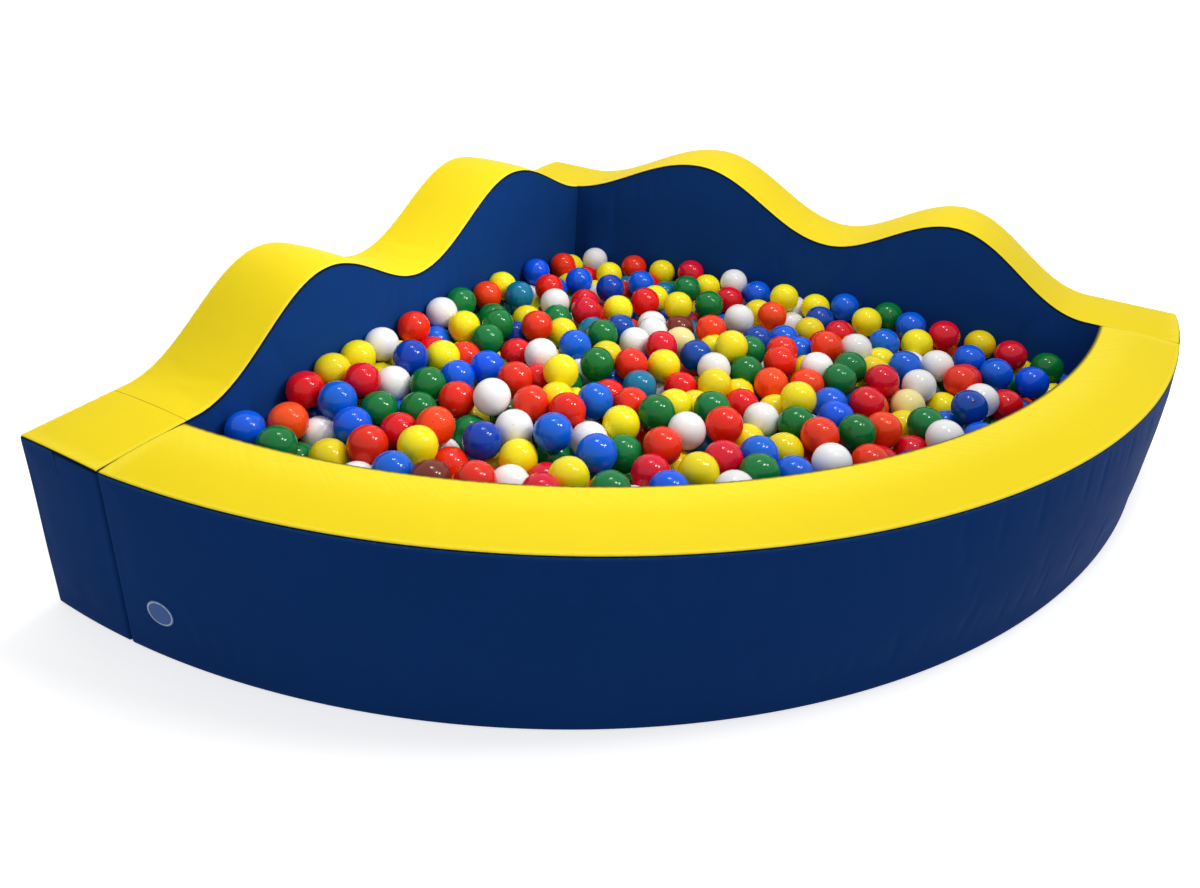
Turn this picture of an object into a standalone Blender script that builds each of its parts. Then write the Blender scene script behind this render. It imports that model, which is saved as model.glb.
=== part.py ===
"""Corner ball pit: two wavy foam walls, a low curved foam block in front, a floor mat and the balls.

Plan positions are written as (a, b). The two walls stand at a right angle, and a runs along the
left wall from the outer face of the right wall, b along the right wall from the outer face of the
left wall. World +Z is up, and the curved front looks towards -Y.
"""
import math

import bmesh
import bpy
import numpy as np

# Plan of the pit
ARC_RADIUS = 1.8
ARC_CENTRE_INSET = 0.095
WALL_THICKNESS = 0.203
FRONT_THICKNESS = 0.181
MODULE_GAP = 0.004
GAP = 0.0003

# Heights of the wall tops, and where along a wall each crest and dip lies
LOW_HEIGHT = 0.385
CORNER_HEIGHT = 0.445
HIGH_CREST = 0.59
MID_DIP = 0.437
LOW_CREST = 0.56
CORNER_DIP_AT = 0.15
HIGH_CREST_AT = 0.60
MID_DIP_AT = 1.00
LOW_CREST_AT = 1.32
FLAT_FROM = 1.68

# Foam blocks and their covers
COVER_THICKNESS = 0.003
SIDE_BULGE = 0.006
TOP_CROWN = 0.005
EDGE_RADIUS = 0.008
FOLD_HEIGHT = 0.012
FOOT_HEIGHT = 0.065
BULGE_SHARES = (1 / 3, 2 / 3)
WALL_STEPS = 24
ARC_STEPS = 30

# Hook-and-loop strips at the three module joints
STRIP_THICKNESS = (MODULE_GAP - 3 * GAP) / 2
STRIP_WIDTH = 0.1
STRIP_LENGTH = 0.25
STRIP_FOOT = 0.06

# Zips
ZIP_WIDTH = 0.014
ZIP_THICKNESS = 0.0012
ZIP_FOOT = 0.036
WALL_ZIP_SHARES = (0.2, 0.85)
FRONT_ZIP_SHARES = (0.15, 0.85)
ZIP_STEPS = 72
SLIDER_LENGTH = 0.014
SLIDER_DEPTH = 0.005
SLIDER_HEIGHT = 0.012
SLIDER_BEVEL = 0.0015
SLIDER_END_ROOM = 0.02

# Floor mat
MAT_THICKNESS = 0.03
MAT_COVER = 0.002
MAT_ROOM = 0.0005
MAT_ARC_STEPS = 24

# Balls
BALL_DIAMETER = 0.08
BALL_PITCH = 0.0825
HEAP_ROOM = 0.012
EDGE_BALL_SHARE = 0.35
CORNER_LEVEL = 0.205
LEVEL_RISE = 0.13
RISE_FROM = 0.25
LEFT_WALL_RUN = 0.45
RIGHT_WALL_RUN = 0.35
RIGHT_WALL_RISE_SHARE = 0.5
FRONT_FALL = 0.022
FRONT_FALL_FROM = 1.25
FRONT_FALL_RUN = 0.3
LEVEL_VARIATION = 0.004
LOOSE_RISE = 0.012
LOOSE_CLEARANCE = 0.006
BALL_SEGMENTS = 12
BALL_RINGS = 8

# Round patch sewn to the front block
PATCH_DIAMETER = 0.056
PATCH_THICKNESS = 0.0015
PATCH_HEIGHT = 0.112
PATCH_ARC_SHARE = 0.035
PATCH_SEGMENTS = 24

OVERRUN = 0.05
HALF_TURN_COS = math.sqrt(0.5)
BACK_Y = (ARC_CENTRE_INSET / HALF_TURN_COS + ARC_RADIUS + SIDE_BULGE) / 2
BALL_RADIUS = BALL_DIAMETER / 2

# Loose balls: name, place (a, b) as shares of the inner radius of the pit, and colour
LOOSE_BALLS = (
    ("loose_ball_red", (0.94, 0.29), (0.75, 0.03, 0.03)),
    ("loose_ball_yellow", (0.67, 0.40), (0.95, 0.72, 0.05)),
    ("loose_ball_green", (0.58, 0.79), (0.10, 0.55, 0.12)),
    ("loose_ball_white", (0.78, 0.36), (0.90, 0.90, 0.88)),
    ("loose_ball_blue", (0.81, 0.53), (0.05, 0.20, 0.65)),
    ("loose_ball_orange", (0.67, 0.64), (0.85, 0.20, 0.03)),
    ("loose_ball_navy", (0.41, 0.91), (0.03, 0.08, 0.35)),
    ("loose_ball_lemon", (0.45, 0.57), (0.95, 0.80, 0.10)),
)


def clear_scene():
    """Removes whatever the scene already holds."""
    for old in list(bpy.data.objects):
        bpy.data.objects.remove(old, do_unlink=True)


def make_material(name, colour, roughness, metallic=0.0):
    """A Principled material of one colour."""
    material = bpy.data.materials.new(name)
    material.use_nodes = True
    shader = material.node_tree.nodes["Principled BSDF"]
    shader.inputs["Base Color"].default_value = (*colour, 1.0)
    shader.inputs["Roughness"].default_value = roughness
    shader.inputs["Metallic"].default_value = metallic
    return material


def make_object(name, vertices, faces, material):
    """A closed mesh object with its faces turned outwards."""
    mesh = bpy.data.meshes.new(name)
    mesh.from_pydata([tuple(v) for v in vertices], [], faces)
    shell = bmesh.new()
    shell.from_mesh(mesh)
    bmesh.ops.recalc_face_normals(shell, faces=shell.faces)
    shell.to_mesh(mesh)
    shell.free()
    piece = bpy.data.objects.new(name, mesh)
    bpy.context.collection.objects.link(piece)
    if material is not None:
        piece.data.materials.append(material)
    return piece


def make_cutter(piece):
    """Turns a piece into a hidden tool for a Boolean."""
    piece.hide_render = True
    piece.display_type = "WIRE"
    return piece


def combine(piece, tool, operation):
    """Adds a Boolean of the given kind to a piece."""
    modifier = piece.modifiers.new(operation.lower(), "BOOLEAN")
    modifier.operation = operation
    modifier.solver = "EXACT"
    modifier.object = make_cutter(tool)


def world(a, b, z):
    """World position of plan position (a, b) at height z."""
    return ((b - a) * HALF_TURN_COS, BACK_Y - (a + b) * HALF_TURN_COS, z)


def wall_height(along):
    """Height of a wall's top edge: half cosine waves between its crests and dips, then flat."""
    stations = (
        (0.0, CORNER_HEIGHT),
        (CORNER_DIP_AT, CORNER_HEIGHT),
        (HIGH_CREST_AT, HIGH_CREST),
        (MID_DIP_AT, MID_DIP),
        (LOW_CREST_AT, LOW_CREST),
        (FLAT_FROM, LOW_HEIGHT),
    )
    for (start, low), (end, high) in zip(stations, stations[1:]):
        if along <= end:
            turn = math.pi * (along - start) / (end - start)
            return low + (high - low) * (1 - math.cos(turn)) / 2
    return LOW_HEIGHT


def wall_end(across):
    """Where a wall meets the outer arc, at a distance in from the wall's outer face."""
    return ARC_CENTRE_INSET + math.sqrt(ARC_RADIUS**2 - (across - ARC_CENTRE_INSET) ** 2)


def arc_start(radius, plane):
    """Angle at which an arc of a radius leaves the plane that lies that far from the outer face."""
    return math.asin((plane - ARC_CENTRE_INSET) / radius)


def end_fade(share):
    """One along the middle of a face and zero at both its ends."""
    return max(0.0, 1 - (2 * share - 1) ** 4)


class StraightWall:
    """Plan of a straight wall, from its start to the outer arc. Across runs in from the outer face."""

    thickness = WALL_THICKNESS
    steps = WALL_STEPS

    def __init__(self, start, mirrored):
        self.start = start
        self.mirrored = mirrored

    def along(self, share, across, inset):
        start = self.start + inset
        return start + (wall_end(across) - inset - start) * share

    def place(self, share, across, inset):
        along = self.along(share, across, inset)
        return (along, across) if self.mirrored else (across, along)

    def top(self, share, across, inset):
        return wall_height(self.along(share, across, inset))

    def fade(self, share, across, inset):
        """The inner face keeps flat where another block butts against it."""
        if across < self.thickness / 2:
            return end_fade(share)
        along = self.along(share, across, inset)
        inner_radius = ARC_RADIUS - FRONT_THICKNESS
        meeting = ARC_CENTRE_INSET + inner_radius * math.cos(arc_start(inner_radius, WALL_THICKNESS))
        position = (along - WALL_THICKNESS - MODULE_GAP) / (meeting - WALL_THICKNESS - MODULE_GAP)
        return end_fade(min(1.0, max(0.0, position)))


class CurvedFront:
    """Plan of the front block, between the two walls' inner faces. Across runs in from the outer arc."""

    thickness = FRONT_THICKNESS
    steps = ARC_STEPS

    def place(self, share, across, inset):
        radius = ARC_RADIUS - across
        start = arc_start(radius, WALL_THICKNESS + MODULE_GAP + inset)
        angle = start + (math.pi / 2 - 2 * start) * share
        return (
            ARC_CENTRE_INSET + radius * math.cos(angle),
            ARC_CENTRE_INSET + radius * math.sin(angle),
        )

    def top(self, share, across, inset):
        return LOW_HEIGHT

    def fade(self, share, across, inset):
        return end_fade(share)


def side_bulge(block, share, across, inset, z):
    """How far a face stands out at height z: nothing at its foot, its top fold and its ends."""
    top = block.top(share, across, inset) - FOLD_HEIGHT
    height = (z - FOOT_HEIGHT) / (top - FOOT_HEIGHT)
    if height <= 0 or height >= 1:
        return 0.0
    outwards = 2 * across / block.thickness - 1
    return SIDE_BULGE * 4 * height * (1 - height) * outwards * block.fade(share, across, inset)


def top_surface(block, share, across, inset):
    """Height of the crowned top with its rounded long edges."""
    edge = min(across, block.thickness - across)
    middle = 1 - (2 * across / block.thickness - 1) ** 2
    reach = min(1.0, max(0.0, 1 - edge / EDGE_RADIUS))
    rounding = EDGE_RADIUS * (1 - math.sqrt(1 - reach**2))
    return block.top(share, across, inset) + TOP_CROWN * middle - rounding


def lattice_triangles(counts):
    """Triangles of the surface of a block of cells, each quad split along the same diagonal."""
    triangles = []
    for axis in range(3):
        first, second = [other for other in range(3) if other != axis]
        for side in (0, counts[axis]):
            for i in range(counts[first]):
                for j in range(counts[second]):
                    corners = []
                    for step_i, step_j in ((0, 0), (1, 0), (1, 1), (0, 1)):
                        corner = [0, 0, 0]
                        corner[axis] = side
                        corner[first] = i + step_i
                        corner[second] = j + step_j
                        corners.append(tuple(corner))
                    triangles.append((corners[0], corners[1], corners[2]))
                    triangles.append((corners[0], corners[2], corners[3]))
    return triangles


def foam_body(name, block, stations, levels, inset, material, shares=(0.0, 1.0), steps=None):
    """A closed body that follows a block's plan.

    stations are distances in from the outer face. levels gives the heights, bottom to top, for a
    share of the length and a station. inset draws both ends in.
    """
    steps = steps or block.steps
    counts = (steps, len(stations) - 1, len(levels(0.0, stations[0])) - 1)
    numbers, vertices, faces = {}, [], []
    for corners in lattice_triangles(counts):
        face = []
        for corner in corners:
            if corner not in numbers:
                numbers[corner] = len(vertices)
                share = shares[0] + (shares[1] - shares[0]) * corner[0] / steps
                across = stations[corner[1]]
                z = levels(share, across)[corner[2]]
                across += side_bulge(block, share, across, inset, z)
                vertices.append(world(*block.place(share, across, inset), z))
            face.append(numbers[corner])
        faces.append(face)
    return make_object(name, vertices, faces, material)


def bulge_heights(block, share, across, inset):
    """Heights at which the faces are shaped, from the top of the foot to the fold."""
    fold = block.top(share, across, inset) - FOLD_HEIGHT
    heights = [FOOT_HEIGHT]
    heights += [FOOT_HEIGHT + (fold - FOOT_HEIGHT) * level for level in BULGE_SHARES]
    return heights + [fold]


def top_stations(thickness, inset):
    """Stations across the top, closer together at the rounded edges."""
    near = [inset, max(inset, EDGE_RADIUS * 0.3), EDGE_RADIUS + inset]
    near = sorted(set(near))
    return near + [thickness / 2] + [thickness - station for station in reversed(near)]


def foam_module(name, block, side_material, top_material, core_material):
    """The three pieces of one foam block: its core, the cover round its sides and base, and the top."""
    thickness = block.thickness
    inner = COVER_THICKNESS + GAP

    def side_levels(share, across):
        return [0.0] + bulge_heights(block, share, across, 0.0)

    def hollow_levels(share, across):
        heights = bulge_heights(block, share, across, COVER_THICKNESS)
        return [COVER_THICKNESS] + heights + [heights[-1] + OVERRUN]

    def cap_levels(share, across):
        fold = block.top(share, across, 0.0) - FOLD_HEIGHT
        return [fold + GAP, top_surface(block, share, across, 0.0)]

    def cap_hollow_levels(share, across):
        fold = block.top(share, across, COVER_THICKNESS) - FOLD_HEIGHT
        return [fold - OVERRUN, top_surface(block, share, across, COVER_THICKNESS) - COVER_THICKNESS]

    def core_levels(share, across):
        heights = bulge_heights(block, share, across, inner)
        return [inner] + heights + [top_surface(block, share, across, inner) - inner]

    side_stations = (0.0, thickness / 2, thickness)
    sides = foam_body(name + "_side_cover", block, side_stations, side_levels, 0.0, side_material)
    hollow_stations = (COVER_THICKNESS, thickness / 2, thickness - COVER_THICKNESS)
    hollow = foam_body(
        name + "_side_hollow", block, hollow_stations, hollow_levels, COVER_THICKNESS, None
    )
    combine(sides, hollow, "DIFFERENCE")
    cap_stations = top_stations(thickness, 0.0)
    cap = foam_body(name + "_top_cover", block, cap_stations, cap_levels, 0.0, top_material)
    cap_hollow = foam_body(
        name + "_top_hollow",
        block,
        top_stations(thickness, COVER_THICKNESS),
        cap_hollow_levels,
        COVER_THICKNESS,
        None,
    )
    combine(cap, cap_hollow, "DIFFERENCE")
    core_stations = (inner, thickness / 2, thickness - inner)
    foam_body(name + "_foam_core", block, core_stations, core_levels, inner, core_material)


def plan_box(name, a_range, b_range, z_range, material):
    """A block with its sides along the walls."""
    corners = [(a, b) for a in a_range for b in b_range]
    vertices = [world(a, b, z) for z in z_range for a, b in corners]
    faces = [(0, 1, 3, 2), (4, 6, 7, 5), (0, 4, 5, 1), (2, 3, 7, 6), (0, 2, 6, 4), (1, 5, 7, 3)]
    return make_object(name, vertices, faces, material)


def joint_strips(hook_material, loop_material):
    """Hook-and-loop strips: one of each pair on either side of each joint between blocks."""
    wall_face = WALL_THICKNESS
    layers = (
        (wall_face + GAP, wall_face + GAP + STRIP_THICKNESS),
        (wall_face + MODULE_GAP - GAP - STRIP_THICKNESS, wall_face + MODULE_GAP - GAP),
    )
    heights = (STRIP_FOOT, STRIP_FOOT + STRIP_LENGTH)
    middle = wall_end(wall_face) - FRONT_THICKNESS / 2
    front_run = (middle - STRIP_WIDTH / 2, middle + STRIP_WIDTH / 2)
    corner_run = (
        WALL_THICKNESS / 2 - STRIP_WIDTH / 2,
        WALL_THICKNESS / 2 + STRIP_WIDTH / 2,
    )
    plan_box("left_wall_loop_strip", front_run, layers[0], heights, loop_material)
    plan_box("front_left_hook_strip", front_run, layers[1], heights, hook_material)
    plan_box("right_wall_loop_strip", layers[0], front_run, heights, loop_material)
    plan_box("front_right_hook_strip", layers[1], front_run, heights, hook_material)
    plan_box("corner_loop_strip", layers[0], corner_run, heights, loop_material)
    plan_box("corner_hook_strip", layers[1], corner_run, heights, hook_material)


def slider_body(name, centre, along, outwards, material):
    """A zip slider: a small block that tapers to its nose, with its edges rounded."""
    half_length, half_height = SLIDER_LENGTH / 2, SLIDER_HEIGHT / 2
    profile = (
        (-half_length, half_height),
        (-half_length, -half_height),
        (0.0, -half_height),
        (half_length, -half_height / 2),
        (half_length, half_height / 2),
        (0.0, half_height),
    )
    vertices = []
    for depth in (0.0, SLIDER_DEPTH):
        for run, rise in profile:
            x = centre[0] + along[0] * run + outwards[0] * depth
            y = centre[1] + along[1] * run + outwards[1] * depth
            vertices.append((x, y, centre[2] + rise))
    count = len(profile)
    faces = [tuple(range(count)), tuple(range(count, 2 * count))]
    faces += [(i, (i + 1) % count, count + (i + 1) % count, count + i) for i in range(count)]
    slider = make_object(name, vertices, faces, material)
    bevel = slider.modifiers.new("rounded edges", "BEVEL")
    bevel.width = SLIDER_BEVEL
    bevel.segments = 2
    return slider


def zips(blocks, tape_material, slider_material):
    """A zip low on the outer face of each wall, and one low on the inner face of the front block."""
    heights = (ZIP_FOOT, ZIP_FOOT + ZIP_WIDTH)
    slider_z = ZIP_FOOT + ZIP_WIDTH / 2
    for name in ("left_wall", "right_wall"):
        block = blocks[name]
        stations = (-GAP - ZIP_THICKNESS, -GAP)
        foam_body(
            name + "_zip", block, stations, lambda share, across: heights, 0.0,
            tape_material, WALL_ZIP_SHARES, 1,
        )
        start = block.along(WALL_ZIP_SHARES[0], 0.0, 0.0) + SLIDER_END_ROOM
        across = -2 * GAP - ZIP_THICKNESS
        place = (start, across) if block.mirrored else (across, start)
        along = (-HALF_TURN_COS, -HALF_TURN_COS) if block.mirrored else (HALF_TURN_COS, -HALF_TURN_COS)
        outwards = (-HALF_TURN_COS, HALF_TURN_COS) if block.mirrored else (HALF_TURN_COS, HALF_TURN_COS)
        centre = world(*place, slider_z)
        slider_body(name + "_zip_slider", centre, along, outwards, slider_material)
    front = blocks["front"]
    inner_radius = ARC_RADIUS - FRONT_THICKNESS
    facet = (math.pi / 2 - 2 * arc_start(inner_radius, WALL_THICKNESS + MODULE_GAP)) / ARC_STEPS
    facet_room = inner_radius * (1 - math.cos(facet / 2)) + GAP
    stations = (FRONT_THICKNESS + facet_room, FRONT_THICKNESS + facet_room + ZIP_THICKNESS)
    foam_body(
        "front_zip", front, stations, lambda share, across: heights, 0.0,
        tape_material, FRONT_ZIP_SHARES, ZIP_STEPS,
    )
    radius = ARC_RADIUS - stations[1] - 2 * GAP
    start = arc_start(radius, WALL_THICKNESS + MODULE_GAP)
    angle = start + (math.pi / 2 - 2 * start) * FRONT_ZIP_SHARES[0] + SLIDER_END_ROOM / radius
    a = ARC_CENTRE_INSET + radius * math.cos(angle)
    b = ARC_CENTRE_INSET + radius * math.sin(angle)
    inwards = plan_direction(-math.cos(angle), -math.sin(angle))
    along = plan_direction(-math.sin(angle), math.cos(angle))
    slider_body("front_zip_slider", world(a, b, slider_z), along, inwards, slider_material)


def plan_direction(a, b):
    """World direction, in the plan, of a step (a, b)."""
    return ((b - a) * HALF_TURN_COS, -(a + b) * HALF_TURN_COS)


def round_patch(front, material):
    """A thin round patch that follows the front block's outer face."""

    def levels(share, across):
        return [0.0] + bulge_heights(front, share, across, 0.0)

    depth = FRONT_THICKNESS / 2
    outer = foam_body(
        "round_patch", front, (-GAP - PATCH_THICKNESS, depth), levels, 0.0, material
    )
    face = foam_body("patch_seat", front, (-GAP, depth + GAP), levels, -GAP, None)
    start = arc_start(ARC_RADIUS, WALL_THICKNESS + MODULE_GAP)
    angle = start + (math.pi / 2 - 2 * start) * PATCH_ARC_SHARE
    a = ARC_CENTRE_INSET + ARC_RADIUS * math.cos(angle)
    b = ARC_CENTRE_INSET + ARC_RADIUS * math.sin(angle)
    centre = np.array(world(a, b, PATCH_HEIGHT))
    outwards = np.array([*plan_direction(math.cos(angle), math.sin(angle)), 0.0])
    sideways = np.array([-outwards[1], outwards[0], 0.0])
    vertices = []
    for depth_sign in (-1, 1):
        for step in range(PATCH_SEGMENTS):
            turn = 2 * math.pi * step / PATCH_SEGMENTS
            ring = sideways * math.cos(turn) + np.array([0.0, 0.0, 1.0]) * math.sin(turn)
            vertices.append(centre + ring * PATCH_DIAMETER / 2 + outwards * OVERRUN * depth_sign)
    count = PATCH_SEGMENTS
    faces = [tuple(range(count)), tuple(range(count, 2 * count))]
    faces += [(i, (i + 1) % count, count + (i + 1) % count, count + i) for i in range(count)]
    punch = make_object("patch_punch", vertices, faces, None)
    combine(outer, punch, "INTERSECT")
    combine(outer, face, "DIFFERENCE")


def pit_outline(inset):
    """Plan outline inside the three blocks, drawn in by an inset."""
    plane = WALL_THICKNESS + inset
    radius = ARC_RADIUS - FRONT_THICKNESS - inset
    start = arc_start(radius, plane)
    points = [(plane, plane)]
    for step in range(MAT_ARC_STEPS + 1):
        angle = start + (math.pi / 2 - 2 * start) * step / MAT_ARC_STEPS
        points.append(
            (
                ARC_CENTRE_INSET + radius * math.cos(angle),
                ARC_CENTRE_INSET + radius * math.sin(angle),
            )
        )
    return points


def pit_prism(name, inset, z_range, material):
    """A closed slab with the pit's outline."""
    outline = pit_outline(inset)
    vertices = [world(a, b, z) for z in z_range for a, b in outline]
    count = len(outline)
    faces = [tuple(range(count)), tuple(range(count, 2 * count))]
    faces += [(i, (i + 1) % count, count + (i + 1) % count, count + i) for i in range(count)]
    return make_object(name, vertices, faces, material)


def floor_mat(cover_material, core_material):
    """The mat on the floor of the pit: a tray of cover, the foam core and the top sheet."""
    fold = MAT_THICKNESS - MAT_COVER - GAP
    inner = MAT_ROOM + MAT_COVER
    tray = pit_prism("mat_under_cover", MAT_ROOM, (0.0, fold), cover_material)
    hollow = pit_prism("mat_hollow", inner, (MAT_COVER, MAT_THICKNESS), None)
    combine(tray, hollow, "DIFFERENCE")
    core_range = (MAT_COVER + GAP, fold)
    pit_prism("mat_foam_core", inner + GAP, core_range, core_material)
    pit_prism("mat_top_cover", MAT_ROOM, (fold + GAP, MAT_THICKNESS), cover_material)


def heap_level(a, b):
    """Height of the centres of the balls on top of the heap.

    It is lowest in the back corner, rises along each wall and more along the left one, and falls
    a little again towards the front block.
    """
    left = 1 - np.exp(-np.maximum(a - RISE_FROM, 0) / LEFT_WALL_RUN)
    right = 1 - np.exp(-np.maximum(b - RISE_FROM, 0) / RIGHT_WALL_RUN)
    rise = 1 - (1 - left) * (1 - RIGHT_WALL_RISE_SHARE * right)
    distance = np.hypot(a - ARC_CENTRE_INSET, b - ARC_CENTRE_INSET)
    fall = np.clip((distance - FRONT_FALL_FROM) / FRONT_FALL_RUN, 0, 1)
    return CORNER_LEVEL + LEVEL_RISE * rise - FRONT_FALL * fall**2 * (3 - 2 * fall)


def loose_centres():
    """Plan places and heights of the loose balls, each a little above the balls round it."""
    reach = ARC_RADIUS - FRONT_THICKNESS
    places = reach * np.array([shares for _, shares, _ in LOOSE_BALLS])
    heights = heap_level(places[:, 0], places[:, 1]) + LOOSE_RISE
    return np.column_stack([places, heights])


def heap_grid():
    """Third-pitch lattice over the pit, and the centres of the balls on top that stay in the heap."""
    step = BALL_PITCH / 3
    rise = step * math.sqrt(3) / 2
    reach = ARC_CENTRE_INSET + ARC_RADIUS
    columns = 3 * (int(reach / BALL_PITCH) + 2)
    rows = 3 * (int(reach / (rise * 3)) + 2)
    i, j = np.meshgrid(np.arange(-rows // 2, columns), np.arange(-3, rows), indexing="ij")
    a = WALL_THICKNESS + step * (i + j / 2)
    b = WALL_THICKNESS + rise * j
    is_centre = (i % 3 == 1) & (j % 3 == 1)
    distance = np.hypot(a - ARC_CENTRE_INSET, b - ARC_CENTRE_INSET)
    wall_room = np.minimum(a, b) - WALL_THICKNESS - HEAP_ROOM
    room = np.minimum(wall_room, ARC_RADIUS - FRONT_THICKNESS - HEAP_ROOM - distance)
    on_top = is_centre & (room >= BALL_RADIUS * EDGE_BALL_SHARE)
    for place in loose_centres():
        on_top &= np.hypot(a - place[0], b - place[1]) >= BALL_DIAMETER + LOOSE_CLEARANCE
    lift = LEVEL_VARIATION * np.sin(a / BALL_PITCH * 2.7 + 1.3) * np.cos(b / BALL_PITCH * 3.1)
    level = heap_level(a, b) + lift
    return a, b, np.stack([a[on_top], b[on_top], level[on_top]], axis=1)


def ball_heap(material):
    """The heap of balls as one body: a sloping bed with a dome for each ball that lies on top."""
    a, b, centres = heap_grid()
    flat = np.stack([a.ravel(), b.ravel()], axis=1)
    z = heap_level(flat[:, 0], flat[:, 1])
    for centre in centres:
        distance = np.hypot(*(flat - centre[:2]).T)
        under = distance < BALL_RADIUS * 0.98
        z[under] = centre[2] + np.sqrt(BALL_RADIUS**2 - distance[under] ** 2)
    rows, columns = a.shape
    top = [world(p[0], p[1], height) for p, height in zip(flat, z)]
    number = np.arange(rows * columns).reshape(rows, columns)
    faces = []
    for i in range(rows - 1):
        for j in range(columns - 1):
            corner, right = number[i, j], number[i + 1, j]
            above, across = number[i, j + 1], number[i + 1, j + 1]
            faces.append((int(corner), int(right), int(above)))
            faces.append((int(right), int(across), int(above)))
    rim = [*number[:, 0], *number[-1, 1:], *number[-2::-1, -1], *number[0, -2:0:-1]]
    base = MAT_THICKNESS - OVERRUN
    bottom = [world(*flat[point], base) for point in rim]
    first = len(top)
    count = len(rim)
    for i in range(count):
        j = (i + 1) % count
        faces.append((int(rim[i]), int(rim[j]), first + j, first + i))
    faces.append(tuple(range(first, first + count)))
    heap = make_object("ball_heap", top + bottom, faces, material)
    room = pit_prism("heap_room", HEAP_ROOM, (MAT_THICKNESS + GAP, HIGH_CREST), None)
    combine(heap, room, "INTERSECT")
    return heap


def sphere(name, centre, radius, material):
    """A ball with its poles up and down."""
    mesh = bpy.data.meshes.new(name)
    shell = bmesh.new()
    bmesh.ops.create_uvsphere(shell, u_segments=BALL_SEGMENTS, v_segments=BALL_RINGS, radius=radius)
    shell.to_mesh(mesh)
    shell.free()
    mesh.shade_smooth()
    ball = bpy.data.objects.new(name, mesh)
    ball.location = centre
    bpy.context.collection.objects.link(ball)
    if material is not None:
        mesh.materials.append(material)
    return ball


def loose_balls(heap):
    """Loose balls among those on top, each in a hollow of the heap that it can be lifted out of."""
    for (name, _, colour), centre in zip(LOOSE_BALLS, loose_centres()):
        place = world(*centre)
        material = make_material(name, colour, 0.25)
        sphere(name, place, BALL_RADIUS, material)
        socket = sphere(name + "_socket", place, BALL_RADIUS + GAP, None)
        combine(heap, socket, "DIFFERENCE")


def build():
    """Makes every piece of the ball pit."""
    clear_scene()
    vinyl = make_material("navy vinyl", (0.03, 0.07, 0.28), 0.45)
    yellow = make_material("yellow vinyl", (0.95, 0.75, 0.05), 0.4)
    foam = make_material("foam", (0.75, 0.75, 0.70), 0.9)
    grey = make_material("grey mat vinyl", (0.25, 0.27, 0.30), 0.6)
    hook = make_material("hook tape", (0.02, 0.02, 0.02), 0.9)
    loop = make_material("loop tape", (0.05, 0.05, 0.05), 0.95)
    tape = make_material("zip tape", (0.02, 0.03, 0.10), 0.8)
    metal = make_material("zip metal", (0.55, 0.55, 0.56), 0.3, 1.0)
    patch = make_material("patch vinyl", (0.85, 0.85, 0.85), 0.5)
    ball = make_material("ball plastic", (0.10, 0.30, 0.75), 0.25)
    blocks = {
        "right_wall": StraightWall(0.0, False),
        "left_wall": StraightWall(WALL_THICKNESS + MODULE_GAP, True),
        "front": CurvedFront(),
    }
    for name, block in blocks.items():
        foam_module(name, block, vinyl, yellow, foam)
    joint_strips(hook, loop)
    zips(blocks, tape, metal)
    round_patch(blocks["front"], patch)
    floor_mat(grey, foam)
    heap = ball_heap(ball)
    loose_balls(heap)


build()
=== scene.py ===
"""Looks of the corner ball pit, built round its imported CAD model."""
import math

import bpy
import numpy as np
from mathutils import Matrix, Vector


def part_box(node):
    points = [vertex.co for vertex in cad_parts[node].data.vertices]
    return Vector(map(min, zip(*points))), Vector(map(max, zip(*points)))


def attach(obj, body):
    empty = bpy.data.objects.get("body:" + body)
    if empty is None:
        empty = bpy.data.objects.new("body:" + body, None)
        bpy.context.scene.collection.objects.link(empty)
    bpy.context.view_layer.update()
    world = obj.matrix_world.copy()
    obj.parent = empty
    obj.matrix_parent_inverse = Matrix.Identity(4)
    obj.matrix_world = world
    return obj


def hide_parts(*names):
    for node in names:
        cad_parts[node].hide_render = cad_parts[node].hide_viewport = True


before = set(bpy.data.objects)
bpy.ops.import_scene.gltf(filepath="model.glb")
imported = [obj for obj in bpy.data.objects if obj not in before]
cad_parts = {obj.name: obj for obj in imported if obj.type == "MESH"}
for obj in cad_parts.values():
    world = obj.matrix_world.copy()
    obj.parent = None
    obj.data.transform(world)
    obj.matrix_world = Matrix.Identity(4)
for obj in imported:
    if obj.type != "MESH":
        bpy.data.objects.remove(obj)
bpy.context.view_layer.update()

# Plan of the pit, in metres: a runs along the left wall and b along the right wall
COS_45 = math.sqrt(0.5)
ARC_RADIUS = 1.8
ARC_CENTRE_INSET = 0.095
WALL_THICKNESS = 0.203
FRONT_THICKNESS = 0.181
MODULE_GAP = 0.004
SIDE_BULGE = 0.006
INNER_RADIUS = ARC_RADIUS - FRONT_THICKNESS
BACK_Y = (ARC_CENTRE_INSET / COS_45 + ARC_RADIUS + SIDE_BULGE) / 2

# Top edge of the two walls
LOW_HEIGHT = 0.385
WAVE_AT = np.array([0.0, 0.15, 0.60, 1.00, 1.32, 1.68, 3.0])
WAVE_HEIGHT = np.array([0.445, 0.445, 0.59, 0.437, 0.56, LOW_HEIGHT, LOW_HEIGHT])

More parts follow.
